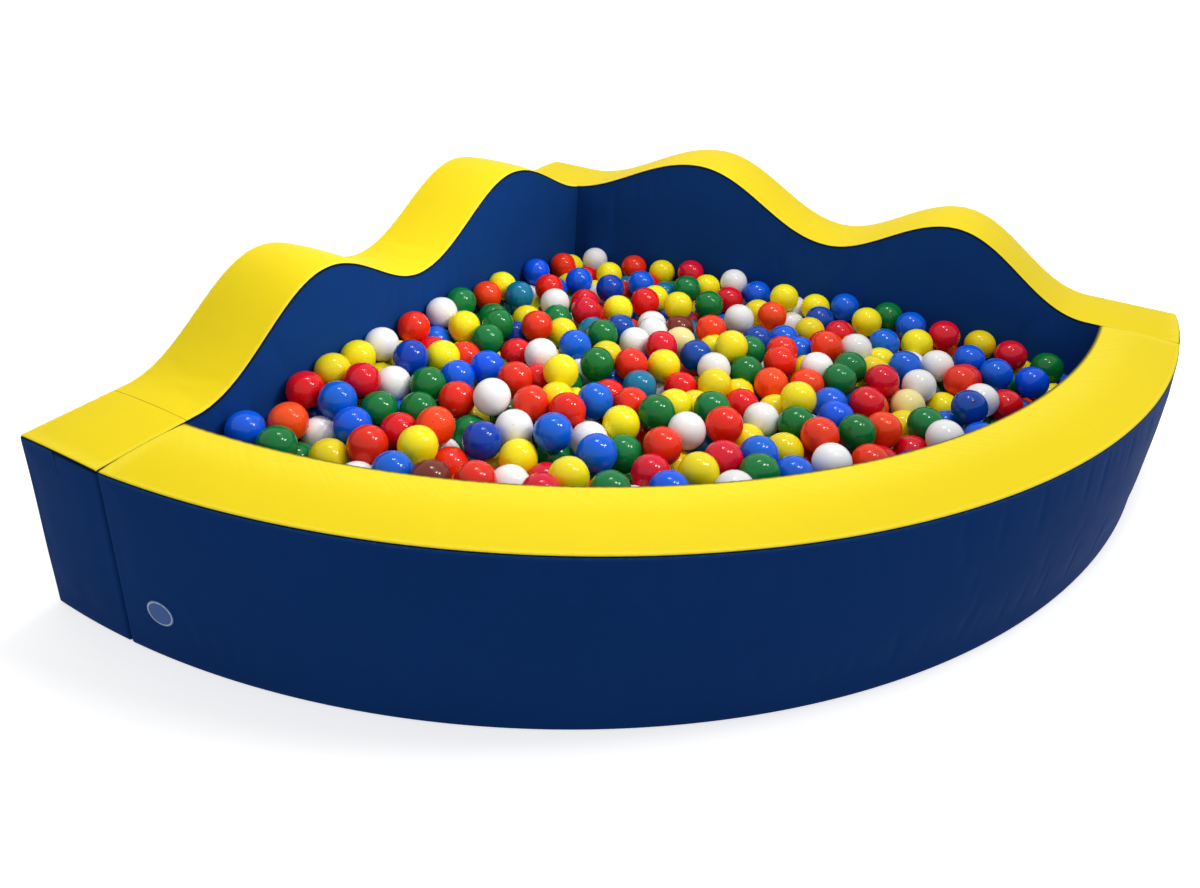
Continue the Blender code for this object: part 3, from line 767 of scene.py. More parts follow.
def plain_core(name, body, block, material):
    """Foam core: the block's own lattice, coarse, drawn in along its normals."""
    coarse = FoamBlock(block.plan, CORE_PITCH, block.ends, block.open_ends)
    points = coarse.surface()
    points = points - vertex_normals(points, coarse.faces) * CORE_INSET
    core = make_mesh(name + "_foam_soft", points, coarse.faces)
    stand_for(core, name + "_foam_core", body, material)


def stand_for(piece, node, body, material):
    """Gives a piece its material and its slot, and puts it on a body in the place of a CAD node."""
    piece.data.materials.append(material)
    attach(piece, body)
    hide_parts(node)


def plate(name, node, body, material, stations, place):
    """A thin closed piece on a grid of s and t with two sides, 0 under and 1 over."""
    s, t = stations
    nodes, faces, _ = lattice((len(s) - 1, len(t) - 1, 1))
    points = place(s[nodes[:, 0]], t[nodes[:, 1]], nodes[:, 2])
    piece = make_mesh(name, points, faces, sharp_angle=50)
    stand_for(piece, node, body, material)
    return piece


def zip_tape(name, body, plan, shares, face, outwards, material):
    """A zip: a tape with a raised bead of teeth along its middle.

    Depth over the tape is the bead's (1 - (h / its half width)^2) times a row of teeth
    0.55 + 0.45 cos(2 pi run / tooth pitch), with h the height from the tape's middle line.
    """
    length = (shares[1] - shares[0]) * plan.length
    run = np.linspace(0, length, 4 * int(length / TOOTH_PITCH) + 1)

    def place(s, h, side):
        tooth = 0.55 + 0.45 * np.cos(2 * np.pi * s / TOOTH_PITCH)
        bead = (ZIP_BEAD - ZIP_TAPE) * np.clip(1 - (h / ZIP_BEAD_HALF) ** 2, 0, 1) * tooth
        hem = ZIP_TAPE * np.where(np.abs(h) > ZIP_HEM_FROM, 0.5, 1.0)
        depth = SURFACE_GAP + side * (hem + bead)
        a, b = plan.place(shares[0] + s / plan.length, face + outwards * depth)
        return to_world(a, b, ZIP_FOOT + ZIP_WIDTH / 2 + h)

    return plate(name + "_tape_soft", name, body, material, (run, ZIP_ROWS), place)


def sewn_strip(name, body, material, a_range, b_range):
    """Hook or loop strip: a flat tape with rounded corners, sunk along its sewn border.

    The corners move to v / |v|, with v the closeness to the two nearest sides.
    """
    half, tall, corner = STRIP_HALF_WIDTH, STRIP_HALF_HEIGHT, STRIP_CORNER
    ends = STRIP_STITCH * np.arange(4.0)

    def across(size, pitch):
        between = spaced(-size + ends[3], size - ends[3], pitch)[1:-1]
        return np.concatenate([-size + ends, between, size - ends[::-1]])

    thin_a = a_range[1] - a_range[0] < half

    def place(x, y, side):
        near_x = np.clip((np.abs(x) - half + corner) / corner, 0, 1)
        near_y = np.clip((np.abs(y) - tall + corner) / corner, 0, 1)
        cut = 1 / np.maximum(np.hypot(near_x, near_y), 1) - 1
        x_in = x + np.sign(x) * near_x * cut * corner
        y_in = y + np.sign(y) * near_y * cut * corner
        sewn = np.abs(np.minimum(half - np.abs(x), tall - np.abs(y)) - STRIP_STITCH) < STRIP_STITCH_HALF
        depth = side * STRIP_THICKNESS * np.where(sewn, 0.7, 1.0)
        z = STRIP_FOOT + tall + y_in
        if thin_a:
            return to_world(a_range[0] + depth, sum(b_range) / 2 + x_in, z)
        return to_world(sum(a_range) / 2 + x_in, b_range[0] + depth, z)

    stations = (across(half, STRIP_PITCHES[0]), across(tall, STRIP_PITCHES[1]))
    return plate(name + "_tape_soft", name, body, material, stations, place)


def strips(hook, loop):
    """Hook-and-loop strips: one of each pair on either side of each joint between blocks."""
    near_side, far_side = WALL_THICKNESS + STRIP_GAP, WALL_THICKNESS + MODULE_GAP - STRIP_GAP
    first = (near_side, near_side + STRIP_THICKNESS)
    second = (far_side - STRIP_THICKNESS, far_side)
    wall_end = ARC_CENTRE_INSET + math.sqrt(ARC_RADIUS**2 - (WALL_THICKNESS - ARC_CENTRE_INSET) ** 2)
    middle = wall_end - FRONT_THICKNESS / 2
    run = (middle - STRIP_HALF_WIDTH, middle + STRIP_HALF_WIDTH)
    corner = (WALL_THICKNESS / 2 - STRIP_HALF_WIDTH, WALL_THICKNESS / 2 + STRIP_HALF_WIDTH)
    sewn_strip("left_wall_loop_strip", "left_wall", loop, run, first)
    sewn_strip("front_left_hook_strip", "front_block", hook, run, second)
    sewn_strip("right_wall_loop_strip", "pit_base", loop, first, run)
    sewn_strip("front_right_hook_strip", "front_block", hook, second, run)
    sewn_strip("corner_loop_strip", "pit_base", loop, first, corner)
    sewn_strip("corner_hook_strip", "left_wall", hook, second, corner)


def disc(s, t):
    """Square place (s, t) bent to a disc by x = s sqrt(1 - t^2 / 2), y = t sqrt(1 - s^2 / 2)."""
    return s * np.sqrt(1 - t**2 / 2), t * np.sqrt(1 - s**2 / 2)


def round_patch(block, material):
    """A round patch on the front's outer face, welded flat at its rim, from a grid bent to a disc."""
    plan = block.plan
    grid = np.linspace(-1, 1, PATCH_CELLS + 1)

    def place(s, t, side):
        x, y = disc(s, t)
        radius = np.hypot(x, y)
        z = PATCH_HEIGHT + y * PATCH_DIAMETER / 2
        u = PATCH_ARC_SHARE + x * PATCH_DIAMETER / 2 / plan.length
        bulge = block.face_bulge(u, -1.0, z, LOW_HEIGHT)
        weld = smooth_step((radius - PATCH_WELD[0]) / PATCH_WELD[1])
        fold = 1 - 0.55 * weld - 0.25 * bell(radius - PATCH_GROOVE[0], PATCH_GROOVE[1])
        a, b = plan.place(u, bulge - SURFACE_GAP - side * PATCH_THICKNESS * fold)
        return to_world(a, b, z)

    square = (grid, grid)
    piece = plate("round_patch_soft", "round_patch", "front_block", material, square, place)
    nodes, _, _ = lattice((PATCH_CELLS, PATCH_CELLS, 1))
    point_attribute(piece, "radius", np.hypot(*disc(grid[nodes[:, 0]], grid[nodes[:, 1]])))


def pit_plan(s, t, inset):
    """Plan place of (s, t), each 0 to 1, in the pit's outline drawn in by an inset.

    The unit square is bent to a quarter disc, and each ray from the back corner is stretched until
    its end lies on the inner arc.
    """
    x, y = disc(s, t)
    size = np.maximum(np.hypot(x, y), 1e-9)
    corner = WALL_THICKNESS + inset
    offset = corner - ARC_CENTRE_INSET
    along = offset * (x + y) / size
    reach = np.sqrt(along**2 + (INNER_RADIUS - inset) ** 2 - 2 * offset**2) - along
    return corner + x * reach, corner + y * reach


def floor_mat(cover, foam):
    """The mat: an under cover turned up round a foam sheet, and a top cover with a welt at its rim."""
    even = np.linspace(0, 1, MAT_CELLS + 1)
    shares = np.concatenate([even[:-1], [MAT_LAST_SHARE, 1.0]])
    foam_inset = MAT_INSET + MAT_FOAM_INSET
    foam_top = MAT_FOLD - MAT_FOAM_BELOW
    layers = (
        ("mat_under_cover", cover, "mat_vinyl", MAT_INSET, 0.0, MAT_FOLD, MAT_COVER_BEND),
        ("mat_foam_core", foam, "foam", foam_inset, MAT_FOAM_FOOT, foam_top, MAT_FOAM_BEND),
    )
    for node, material, slot, inset, low, high, bend in layers:
        levels = np.array([low, low + bend / 2, low + bend, (low + high) / 2, high])
        draw_in = inset + bend * np.array([1.0, 0.3, 0.0, 0.0, 0.0])
        nodes, faces, _ = lattice((len(shares) - 1, len(shares) - 1, len(levels) - 1))
        i, j, k = nodes.T
        a, b = pit_plan(shares[i], shares[j], draw_in[k])
        piece = make_mesh(node + "_soft", to_world(a, b, levels[k]), faces, sharp_angle=50)
        stand_for(piece, node, "pit_base", material)

    def place(s, t, side):
        a, b = pit_plan(s, t, MAT_INSET + MAT_TOP_TUCK * (1 - side))
        from_rim = INNER_RADIUS - np.hypot(a - ARC_CENTRE_INSET, b - ARC_CENTRE_INSET)
        from_rim = np.minimum(from_rim, np.minimum(a, b) - WALL_THICKNESS)
        dent = MAT_DENT * ripple(a / MAT_DENT_PITCH, 2.0, 2) * ripple(b / MAT_DENT_PITCH, 5.0, 2)
        dent = dent - WELT_DEPTH * bell(from_rim - WELT_FROM_RIM, WELT_WIDTH)
        return to_world(a, b, MAT_FOLD + MAT_TOP_GAP + side * (MAT_TOP_COVER + dent))

    square = (shares, shares)
    top = plate("mat_top_cover_soft", "mat_top_cover", "pit_base", cover, square, place)


def cube_sphere(cells):
    """Unit ball as the surface of a block of cells, each node moved out to length 1."""
    nodes, faces, _ = lattice((cells, cells, cells))
    p = np.tan((nodes / cells - 0.5) * np.pi / 2)
    return p / np.linalg.norm(p, axis=1, keepdims=True), faces


def subdivided(piece):
    """Adds one level of subdivision to a piece."""
    finer = piece.modifiers.new("rounding", "SUBSURF")
    finer.levels = 1
    finer.render_levels = 1


def subdivided_size(cells):
    """Mean radius of the unit ball after one level of subdivision, which draws it in."""
    unit, faces = cube_sphere(cells)
    piece = make_mesh("size draft", unit, faces)
    subdivided(piece)
    drawn = piece.evaluated_get(bpy.context.evaluated_depsgraph_get()).to_mesh()
    places = np.zeros(len(drawn.vertices) * 3, np.float32)
    drawn.vertices.foreach_get("co", places)
    bpy.data.objects.remove(piece)
    return float(np.linalg.norm(places.reshape(-1, 3), axis=1).mean())


def balls_mesh(name, centres, seeds, cells, radius):
    """Balls of one colour as one mesh: each is the unit ball at its own centre.

    Two attributes give each ball its own shade, and the height of a point along its own mould
    axis, which a seed turns.
    """
    unit, faces = cube_sphere(cells)
    count, size = len(centres), len(unit)
    turns = np.stack([np.cos(seeds * 2.4), np.sin(seeds * 2.4), np.cos(seeds * 1.3) * 1.2], axis=1)
    axis = turns / np.linalg.norm(turns, axis=1, keepdims=True)
    spots = centres[:, None] + unit[None] * radius
    numbers = faces[None] + (np.arange(count) * size)[:, None, None]
    piece = make_mesh(name, spots.reshape(-1, 3), numbers.reshape(-1, 4))
    shade = np.modf(np.abs(np.sin(seeds * 12.9898) * 43758.5))[0]
    point_attribute(piece, "shade", np.repeat(shade, size))
    point_attribute(piece, "mould", (unit[None] * axis[:, None]).sum(-1))
    return piece


def top_level(a, b):
    """Height of the centres of the balls on top of the heap.

    It is lowest in the back corner, rises along each wall and more along the left one, and falls
    a little again towards the front block.
    """
    left = 1 - np.exp(-np.maximum(a - RISE_FROM, 0) / LEFT_WALL_RUN)
    right = 1 - np.exp(-np.maximum(b - RISE_FROM, 0) / RIGHT_WALL_RUN)
    rise = 1 - (1 - left) * (1 - RIGHT_WALL_RISE_SHARE * right)
    distance = np.hypot(a - ARC_CENTRE_INSET, b - ARC_CENTRE_INSET)
    fall = smooth_step((distance - FRONT_FALL_FROM) / FRONT_FALL_RUN)
    return CORNER_LEVEL + LEVEL_RISE * rise - FRONT_FALL * fall


def inside_pit(a, b, margin):
    """Plan places moved inside the pit's two walls and its arc by a margin."""
    a = np.maximum(a, WALL_THICKNESS + margin)
    b = np.maximum(b, WALL_THICKNESS + margin)
    a_off, b_off = a - ARC_CENTRE_INSET, b - ARC_CENTRE_INSET
    share = np.minimum(1.0, (INNER_RADIUS - margin) / np.hypot(a_off, b_off))
    return ARC_CENTRE_INSET + a_off * share, ARC_CENTRE_INSET + b_off * share


def pixel_rays(camera, pixels):
    """Unit directions from the camera through pixels of the photograph's frame."""
    focal = FRAME_WIDTH * camera.data.lens / camera.data.sensor_width
    across = pixels[:, 0] - FRAME_WIDTH / 2
    down = pixels[:, 1] - FRAME_HEIGHT / 2 - camera.data.shift_y * FRAME_WIDTH
    turn = np.array(camera.matrix_world.to_3x3())
    rays = np.stack([across, -down, np.full(len(pixels), -focal)], axis=1) @ turn.T
    return rays / np.linalg.norm(rays, axis=1, keepdims=True)


def pushes(balls):
    """Move of each ball that takes half of each overlap away: the sum of (overlap / 2) outwards."""
    way = balls[None] - balls[:, None]
    length = np.linalg.norm(way, axis=2)
    np.fill_diagonal(length, 1.0)
    share = np.maximum(0.0, 2 * BALL_RADIUS + TOP_SLACK - length) / np.maximum(length, 1e-6) / 2
    return -(way * share[:, :, None]).sum(axis=1)


def settle_on_rays(balls, rays, give, drops, loose, eye, steps):
    """Moves balls apart while each ball that the photograph shows stays near its own ray.

    A push counts ALONG_RAY times along a ray and less across it, by the ball's give, and the ray
    pulls a ball back until it is let go near the last step. A ball is also drawn a little to the
    height of the heap's top, and held between the walls and the arc.
    """
    seen = len(rays)
    for step in range(steps):
        push = pushes(np.concatenate([balls, loose]))[: len(balls)]
        along = (push[:seen] * rays).sum(axis=1)[:, None] * rays
        on_ray = eye + rays * ((balls[:seen] - eye) * rays).sum(axis=1)[:, None]
        hold = RAY_HOLD * min(1.0, (steps - step) / (LET_GO_SHARE * steps))
        move = push.copy()
        aside = give[:, None] * (push[:seen] - along)
        move[:seen] = ALONG_RAY * along + aside + hold * (on_ray - balls[:seen])
        balls = balls + move
        a, b = inside_pit(*to_plan(balls), BALL_RADIUS + TOP_WALL_MARGIN)
        level = top_level(a, b)
        z = balls[:, 2] + (level - drops - balls[:, 2]) * LEVEL_PULL
        balls = to_world(a, b, np.clip(z, level - LEVEL_BELOW, level + LEVEL_ABOVE))
    return balls


def hexagonal_places(pitch, margin):
    """Plan places of a hexagonal lattice inside the pit."""
    i, j = np.mgrid[0 : LATTICE[0], 0 : LATTICE[1]].reshape(2, -1).astype(float)
    start = WALL_THICKNESS + BALL_RADIUS
    a = start + pitch * (i + 0.5 * (j % 2))
    b = start + pitch * j * math.sqrt(3) / 2
    kept = np.hypot(a - ARC_CENTRE_INSET, b - ARC_CENTRE_INSET) < INNER_RADIUS - margin
    return a[kept], b[kept]


def top_balls(camera, loose):
    """Places and colour names of the balls that lie on top of the heap, and of those just below.

    Each starts where the ray through its pixel meets the heap's top level, and the balls are
    settled. Where no ball was read, behind the front block, a lattice of balls fills the place.
    """
    pixels, colours, drops, give = [], [], [], []
    layers = ((BALLS_ON_TOP, TOP_DROP, TOP_GIVE), (BALLS_BELOW, BELOW_DROP, BELOW_GIVE))
    for listing, drop, softness in layers:
        for colour, places in listing.items():
            pixels += places
            colours += [colour] * len(places)
            drops += [drop] * len(places)
            give += [softness] * len(places)
    rays = pixel_rays(camera, np.array(pixels, float))
    drops, give = np.array(drops), np.array(give)
    eye = np.array(camera.matrix_world.translation)
    height = np.full(len(rays), CORNER_LEVEL)
    for _ in range(RAY_ROUNDS):
        balls = eye + rays * ((height - eye[2]) / rays[:, 2])[:, None]
        height = top_level(*to_plan(balls)) - drops
    balls = settle_on_rays(balls, rays, give, drops, loose, eye, FIRST_STEPS)
    a, b = hexagonal_places(FILL_PITCH, BALL_RADIUS + DEEP_WALL_MARGIN)
    seen_a, seen_b = to_plan(np.concatenate([balls, loose]))
    nearest = np.hypot(a[:, None] - seen_a, b[:, None] - seen_b).min(axis=1)
    a, b = a[nearest > FILL_NEAREST], b[nearest > FILL_NEAREST]
    fills = to_world(a, b, top_level(a, b) - FILL_DROP)
    balls = np.concatenate([balls, fills])
    drops = np.concatenate([drops, np.full(len(fills), FILL_DROP)])
    balls = settle_on_rays(balls, rays, give, drops, loose, eye, SECOND_STEPS)
    shuffle = np.random.default_rng(3)
    colours += shuffle.choice(FILL_COLOURS, len(fills)).tolist()
    return balls, np.array(colours)


def deep_balls(fixed):
    """Places of the balls under the top ones.

    They start on a close-packed lattice with a seeded shake, and overlaps are then pushed apart
    in small steps, while the top balls, the walls, the arc and the mat hold still.
    """
    shake = np.random.default_rng(11)
    pitch = 2 * BALL_RADIUS * DEEP_SPREAD
    grid = np.mgrid[0 : LATTICE[0], 0 : LATTICE[1], 0:DEEP_LAYERS].reshape(3, -1).T.astype(float)
    odd_row, odd_layer = grid[:, 1] % 2, grid[:, 2] % 2
    a = WALL_THICKNESS + BALL_RADIUS + pitch * (grid[:, 0] + 0.5 * odd_row + 0.5 * odd_layer)
    b = WALL_THICKNESS + BALL_RADIUS + pitch * (grid[:, 1] * math.sqrt(3) / 2 + odd_layer / math.sqrt(12))
    z = MAT_TOP + BALL_RADIUS + pitch * grid[:, 2] * math.sqrt(2 / 3)
    away = np.hypot(a - ARC_CENTRE_INSET, b - ARC_CENTRE_INSET)
    under_top = z < top_level(a, b) - DEEP_START_BELOW
    kept = (away < INNER_RADIUS - BALL_RADIUS * DEEP_ARC_SHARE) & under_top
    balls = to_world(a[kept], b[kept], z[kept])
    balls = balls + shake.normal(0, DEEP_SHAKE, balls.shape)
    near = np.linalg.norm(balls[:, None] - fixed[None], axis=-1).min(axis=1)
    balls = balls[near > DEEP_NEAREST]
    count = len(balls)
    every = np.concatenate([balls, fixed])
    for step in range(DEEP_STEPS):
        if step % PAIRS_FOUND_EVERY == 0:
            gaps = ((every[:, None] - every[None]) ** 2).sum(axis=-1)
            first, second = np.nonzero(np.triu(gaps < PAIR_REACH**2, 1))
        way = every[second] - every[first]
        length = np.maximum(np.linalg.norm(way, axis=1), 1e-6)
        share = np.maximum(0.0, 2 * BALL_RADIUS + DEEP_SLACK - length) / length / 2
        move = np.zeros_like(every)
        np.add.at(move, first, -way * share[:, None])
        np.add.at(move, second, way * share[:, None])
        a, b = inside_pit(*to_plan(every[:count] + move[:count]), BALL_RADIUS + DEEP_WALL_MARGIN)
        z = np.maximum(every[:count, 2] + move[:count, 2], MAT_TOP + BALL_RADIUS)
        every[:count] = to_world(a, b, np.minimum(z, top_level(a, b) - DEEP_END_BELOW))
    return every[:count]


def loose_balls(paints):
    """The eight balls that can be lifted out, each at its own node's place."""
    places = []
    for number, (title, colour) in enumerate(LOOSE_BALL_COLOURS.items()):
        low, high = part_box("loose_ball_" + title)
        middle = (np.array(low) + np.array(high)) / 2
        places.append(middle)
        seed = np.array([(number + 1) * 1.37])
        ball = balls_mesh("ball_" + title, middle[None], seed, LOOSE_BALL_CELLS, BALL_RADIUS)
        stand_for(ball, "loose_ball_" + title, title + "_ball", paints[colour])
    return np.array(places)


def heap_balls(paints, camera, loose):
    """The heap: one piece for each colour of the balls on top, and one for those under them."""
    top, top_colours = top_balls(camera, loose)
    deep = deep_balls(np.concatenate([top, loose]))
    shuffle = np.random.default_rng(5)
    deep_colours = shuffle.choice(FILL_COLOURS, len(deep))
    full = BALL_RADIUS / subdivided_size(BALL_CELLS)
    layers = (("top", top, top_colours, full), ("deep", deep, deep_colours, BALL_RADIUS))
    for layer, places, colours, radius in layers:
        for colour, (_, slot) in BALL_COLOURS.items():
            chosen = places[colours == colour]
            if len(chosen) == 0:
                continue
            seeds = chosen[:, 0] * 71 + chosen[:, 1] * 37
            piece = balls_mesh("heap_" + layer + "_" + colour, chosen, seeds, BALL_CELLS, radius)
            if layer == "top":
                subdivided(piece)
            stand_for(piece, "ball_heap", "pit_base", paints[colour])


def group_sockets(group, inputs, outputs):
    """Declares a node group's named inputs, with their values, and its outputs."""
    for label, value in inputs.items():
        kind = "NodeSocketColor" if isinstance(value, tuple) else "NodeSocketFloat"
        socket = group.interface.new_socket(label, in_out="INPUT", socket_type=kind)
        socket.default_value = value
    for label, kind in outputs.items():
        group.interface.new_socket(label, in_out="OUTPUT", socket_type=kind)


class Graph:
    """Short calls for the nodes and links of a material or a node group."""

    def __init__(self, tree):
        self.tree = tree

    def add(self, kind, settings=None, **inputs):
        """A node with its settings and inputs."""
        node = self.tree.nodes.new(kind)
        for label, value in (settings or {}).items():
            setattr(node, label, value)
        for label, value in inputs.items():
            self.feed(node, label.replace("_", " "), value)
        return node

    def feed(self, node, label, value):
        """Links a socket or a node's first output to an input, or writes the input's value."""
        socket = node.inputs[int(label)] if label.isdigit() else node.inputs[label]
        if isinstance(value, bpy.types.Node):
            value = value.outputs[0]
        if isinstance(value, bpy.types.NodeSocket):
            self.tree.links.new(value, socket)
        else:
            socket.default_value = value

    def maths(self, operation, first, second=0.0, third=None):
        """One Math node."""
        node = self.tree.nodes.new("ShaderNodeMath")
        node.operation = operation
        self.feed(node, "0", first)
        self.feed(node, "1", second)
        if third is not None:
            self.feed(node, "2", third)
        return node.outputs[0]

    def times(self, first, second, plus=None):
        """The product of two values, or with a third one the product plus it."""
        return self.maths("MULTIPLY" if plus is None else "MULTIPLY_ADD", first, second, plus)

    def eased(self, value, low, high, to_low=0.0, to_high=1.0):
        """A value taken from one range to another, 0 to 1 unless others are given, with soft ends."""
        node = self.tree.nodes.new("ShaderNodeMapRange")
        node.interpolation_type = "SMOOTHSTEP"
        labels = ("Value", "From Min", "From Max", "To Min", "To Max")
        for label, number in zip(labels, (value, low, high, to_low, to_high)):
            self.feed(node, label, number)
        return node.outputs[0]

    def noise(self, vector, scale, detail=2.0, rough=0.5):
        """The value of a noise texture."""
        node = self.tree.nodes.new("ShaderNodeTexNoise")
        self.feed(node, "Vector", vector)
        self.feed(node, "Scale", scale)
        self.feed(node, "Detail", detail)
        self.feed(node, "Roughness", rough)
        return node.outputs["Fac"]

    def blend(self, share, first, second):
        """Two colours mixed by a share."""
        node = self.tree.nodes.new("ShaderNodeMix")
        node.data_type = "RGBA"
        self.feed(node, "0", share)
        self.feed(node, "6", first)
        self.feed(node, "7", second)
        return node.outputs[2]

    def finish(self, shader, colour, roughness, height, strength, distance):
        """Feeds a shader its colour, its roughness and, through a bump of a height, its normal."""
        self.feed(shader, "Base Color", colour)
        self.feed(shader, "Roughness", roughness)
        bump = self.add("ShaderNodeBump", Strength=strength, Distance=distance, Height=height)
        self.feed(shader, "Normal", bump)

    def attribute(self, name):
        """A number stored on the vertices."""
        node = self.tree.nodes.new("ShaderNodeAttribute")
        node.attribute_name = name
        return node.outputs["Fac"]

    def place(self):
        """Object coordinates."""
        return self.tree.nodes.new("ShaderNodeTexCoord").outputs["Object"]


def new_material(name):
    """A Principled material and its graph."""
    material = bpy.data.materials.new(name)
    material.use_nodes = True
    material.node_tree.nodes.clear()
    g = Graph(material.node_tree)
    shader = g.add("ShaderNodeBsdfPrincipled")
    out = g.add("ShaderNodeOutputMaterial")
    material.node_tree.links.new(shader.outputs[0], out.inputs["Surface"])
    return material, g, shader


def vinyl_group():
    """Coated fabric: fine pebbled grain, soft cloudy shade, and scuffs where it is handled."""
    group = bpy.data.node_groups.new("coated vinyl", "ShaderNodeTree")
    inputs = {"Color": (0.5, 0.5, 0.5, 1.0), "Cloud": 0.08, "Grain": 0.5, "Worn": 0.0}
    outputs = {"Color": "NodeSocketColor", "Roughness": "NodeSocketFloat", "Height": "NodeSocketFloat"}
    group_sockets(group, inputs, outputs)
    g = Graph(group)
    given = g.add("NodeGroupInput")
    out = g.add("NodeGroupOutput")
    place = g.place()
    cloud = g.noise(place, 3.2, 3.0, 0.55)
    patch = g.noise(place, 19.0, 3.0, 0.6)
    pebble = g.add("ShaderNodeTexVoronoi", {"feature": "SMOOTH_F1"}, Vector=place, Scale=900.0)
    weave = g.noise(place, 420.0, 2.0, 0.6)
    mixed = g.times(cloud, 0.65, g.times(patch, 0.35))
    strength = g.times(given.outputs["Cloud"], 2.6)
    shade = g.times(g.maths("SUBTRACT", mixed, 0.5), strength, 1.0)
    value = g.add("ShaderNodeHueSaturation", Color=given.outputs["Color"], Value=shade)
    pale = g.blend(0.5, value.outputs[0], (0.75, 0.75, 0.75, 1.0))
    fleck = g.eased(g.noise(place, 160.0, 4.0, 0.7), 0.52, 0.72)
    worn = g.times(g.times(given.outputs["Worn"], fleck), 0.5)
    g.feed(out, "Color", g.blend(worn, value.outputs[0], pale))
    rough = g.times(patch, 0.14, g.times(weave, 0.06, 0.46))
    g.feed(out, "Roughness", g.times(worn, 0.25, rough))
    height = g.times(pebble.outputs["Distance"], 0.7, g.times(weave, 0.6))
    g.feed(out, "Height", g.times(height, given.outputs["Grain"]))
    return group


def seam_line(g, gap, run, width):
    """Shares along the seam: the groove, which is darkened as painted shade, and the needle line of
    stitches beside it.
    """
    away = g.maths("ABSOLUTE", gap)
    groove = g.eased(away, 0.3 * width, width, 1.0, 0.0)
    off_line = g.maths("ABSOLUTE", g.maths("SUBTRACT", away, STITCH_FROM_SEAM))
    beside = g.eased(off_line, 0.0, STITCH_HALF_WIDTH, 1.0, 0.0)
    dashes = g.eased(g.maths("SINE", g.times(run, STITCH_RATE)), -0.2, 0.2)
    return groove, g.times(beside, dashes)


def vinyl_material(name, vinyl, colour, cloud, highlight_colour, seam_shade_colour, seam_width, specular):
    """Cover vinyl: the coated group, a paler band beside the seam that is a painted highlight of the
    rounded edge, the seam groove darkened as painted shade, and stitches.

    A fine dark line of painted shade crosses the top cover where it is pieced from two lengths.
    """
    material, g, shader = new_material(name)
    gap, run = g.attribute("seam_gap"), g.attribute("run")
    piecing = g.eased(g.maths("ABSOLUTE", g.attribute("piecing_gap")), *PIECING_LINE, 1.0, 0.0)
    # Painted highlight: a paler, streaked band reaching about 13 mm out from the seam on the outer faces
    # and the top's rim, standing in for light caught by the rounded edge; pale wear flecks are also laid in
    # this band.
    band = g.times(g.eased(gap, *PAINTED_HIGHLIGHT_BAND), g.eased(gap, *BAND_END, 1.0, 0.0))
    lines = g.add("ShaderNodeCombineXYZ", X=g.times(run, 60.0), Y=g.times(gap, 9.0))
    streak = g.eased(g.noise(lines, 1.0, 3.0, 0.6), 0.3, 0.7, 0.45, 1.0)
    band = g.times(band, streak)
    highlighted = g.blend(band, (*colour, 1.0), (*highlight_colour, 1.0))
    coat = g.add("ShaderNodeGroup", {"node_tree": vinyl}, Color=highlighted, Cloud=cloud, Grain=0.5)
    g.feed(coat, "Worn", g.times(band, 0.3))
    groove, stitch = seam_line(g, gap, run, seam_width)
    # Painted shade: the seam groove and the piecing line are darkened towards the seam colour.
    sewn = g.maths("MAXIMUM", g.times(groove, 0.95), g.times(piecing, 0.55))
    dark = g.blend(sewn, coat.outputs["Color"], (*seam_shade_colour, 1.0))
    height = g.times(stitch, 1.2, coat.outputs["Height"])
    height = g.maths("SUBTRACT", height, piecing)
    g.finish(shader, dark, coat.outputs["Roughness"], height, 0.35, 0.0004)
    shader.inputs["Specular IOR Level"].default_value = specular
    return material


def moulded_group():
    """Moulded plastic: ball to ball shade, faint scuffs, the parting line and the sealed nub."""
    group = bpy.data.node_groups.new("moulded plastic", "ShaderNodeTree")
    outputs = {"Color": "NodeSocketColor", "Roughness": "NodeSocketFloat", "Height": "NodeSocketFloat"}
    group_sockets(group, {"Color": (0.5, 0.5, 0.5, 1.0)}, outputs)
    g = Graph(group)
    given = g.add("NodeGroupInput")
    out = g.add("NodeGroupOutput")
    own, mould = g.attribute("shade"), g.attribute("mould")
    value = g.add("ShaderNodeHueSaturation", Color=given.outputs["Color"])
    g.feed(value, "Value", g.times(own, 0.2, 0.9))
    g.feed(value, "Hue", g.times(own, 0.012, 0.494))
    nub = g.eased(mould, 0.986, 0.995)
    line = g.eased(g.maths("ABSOLUTE", mould), 0.0, 0.014, 1.0, 0.0)
    scuff = g.eased(g.noise(g.place(), 70.0, 5.0, 0.65), 0.5, 0.75)
    dark = g.blend(g.times(nub, 0.6), value.outputs[0], (*NUB_COLOUR, 1.0))
    g.feed(out, "Color", dark)
    rough = g.times(own, 0.04, BALL_ROUGHNESS)
    g.feed(out, "Roughness", g.times(scuff, 0.06, rough))
    low = g.times(nub, -1.2, g.times(scuff, 0.02))
    g.feed(out, "Height", g.times(line, 0.5, low))
    return group


def ball_material(name, colour, moulded):
    """Blow-moulded ball plastic, glossy, with its mould line and nub."""
    material, g, shader = new_material(name)
    own = g.add("ShaderNodeGroup", {"node_tree": moulded}, Color=(*colour, 1.0))
    g.finish(shader, own.outputs["Color"], own.outputs["Roughness"], own.outputs["Height"], 0.25, 0.0006)
    shader.inputs["Specular IOR Level"].default_value = BALL_SPECULAR
    return material


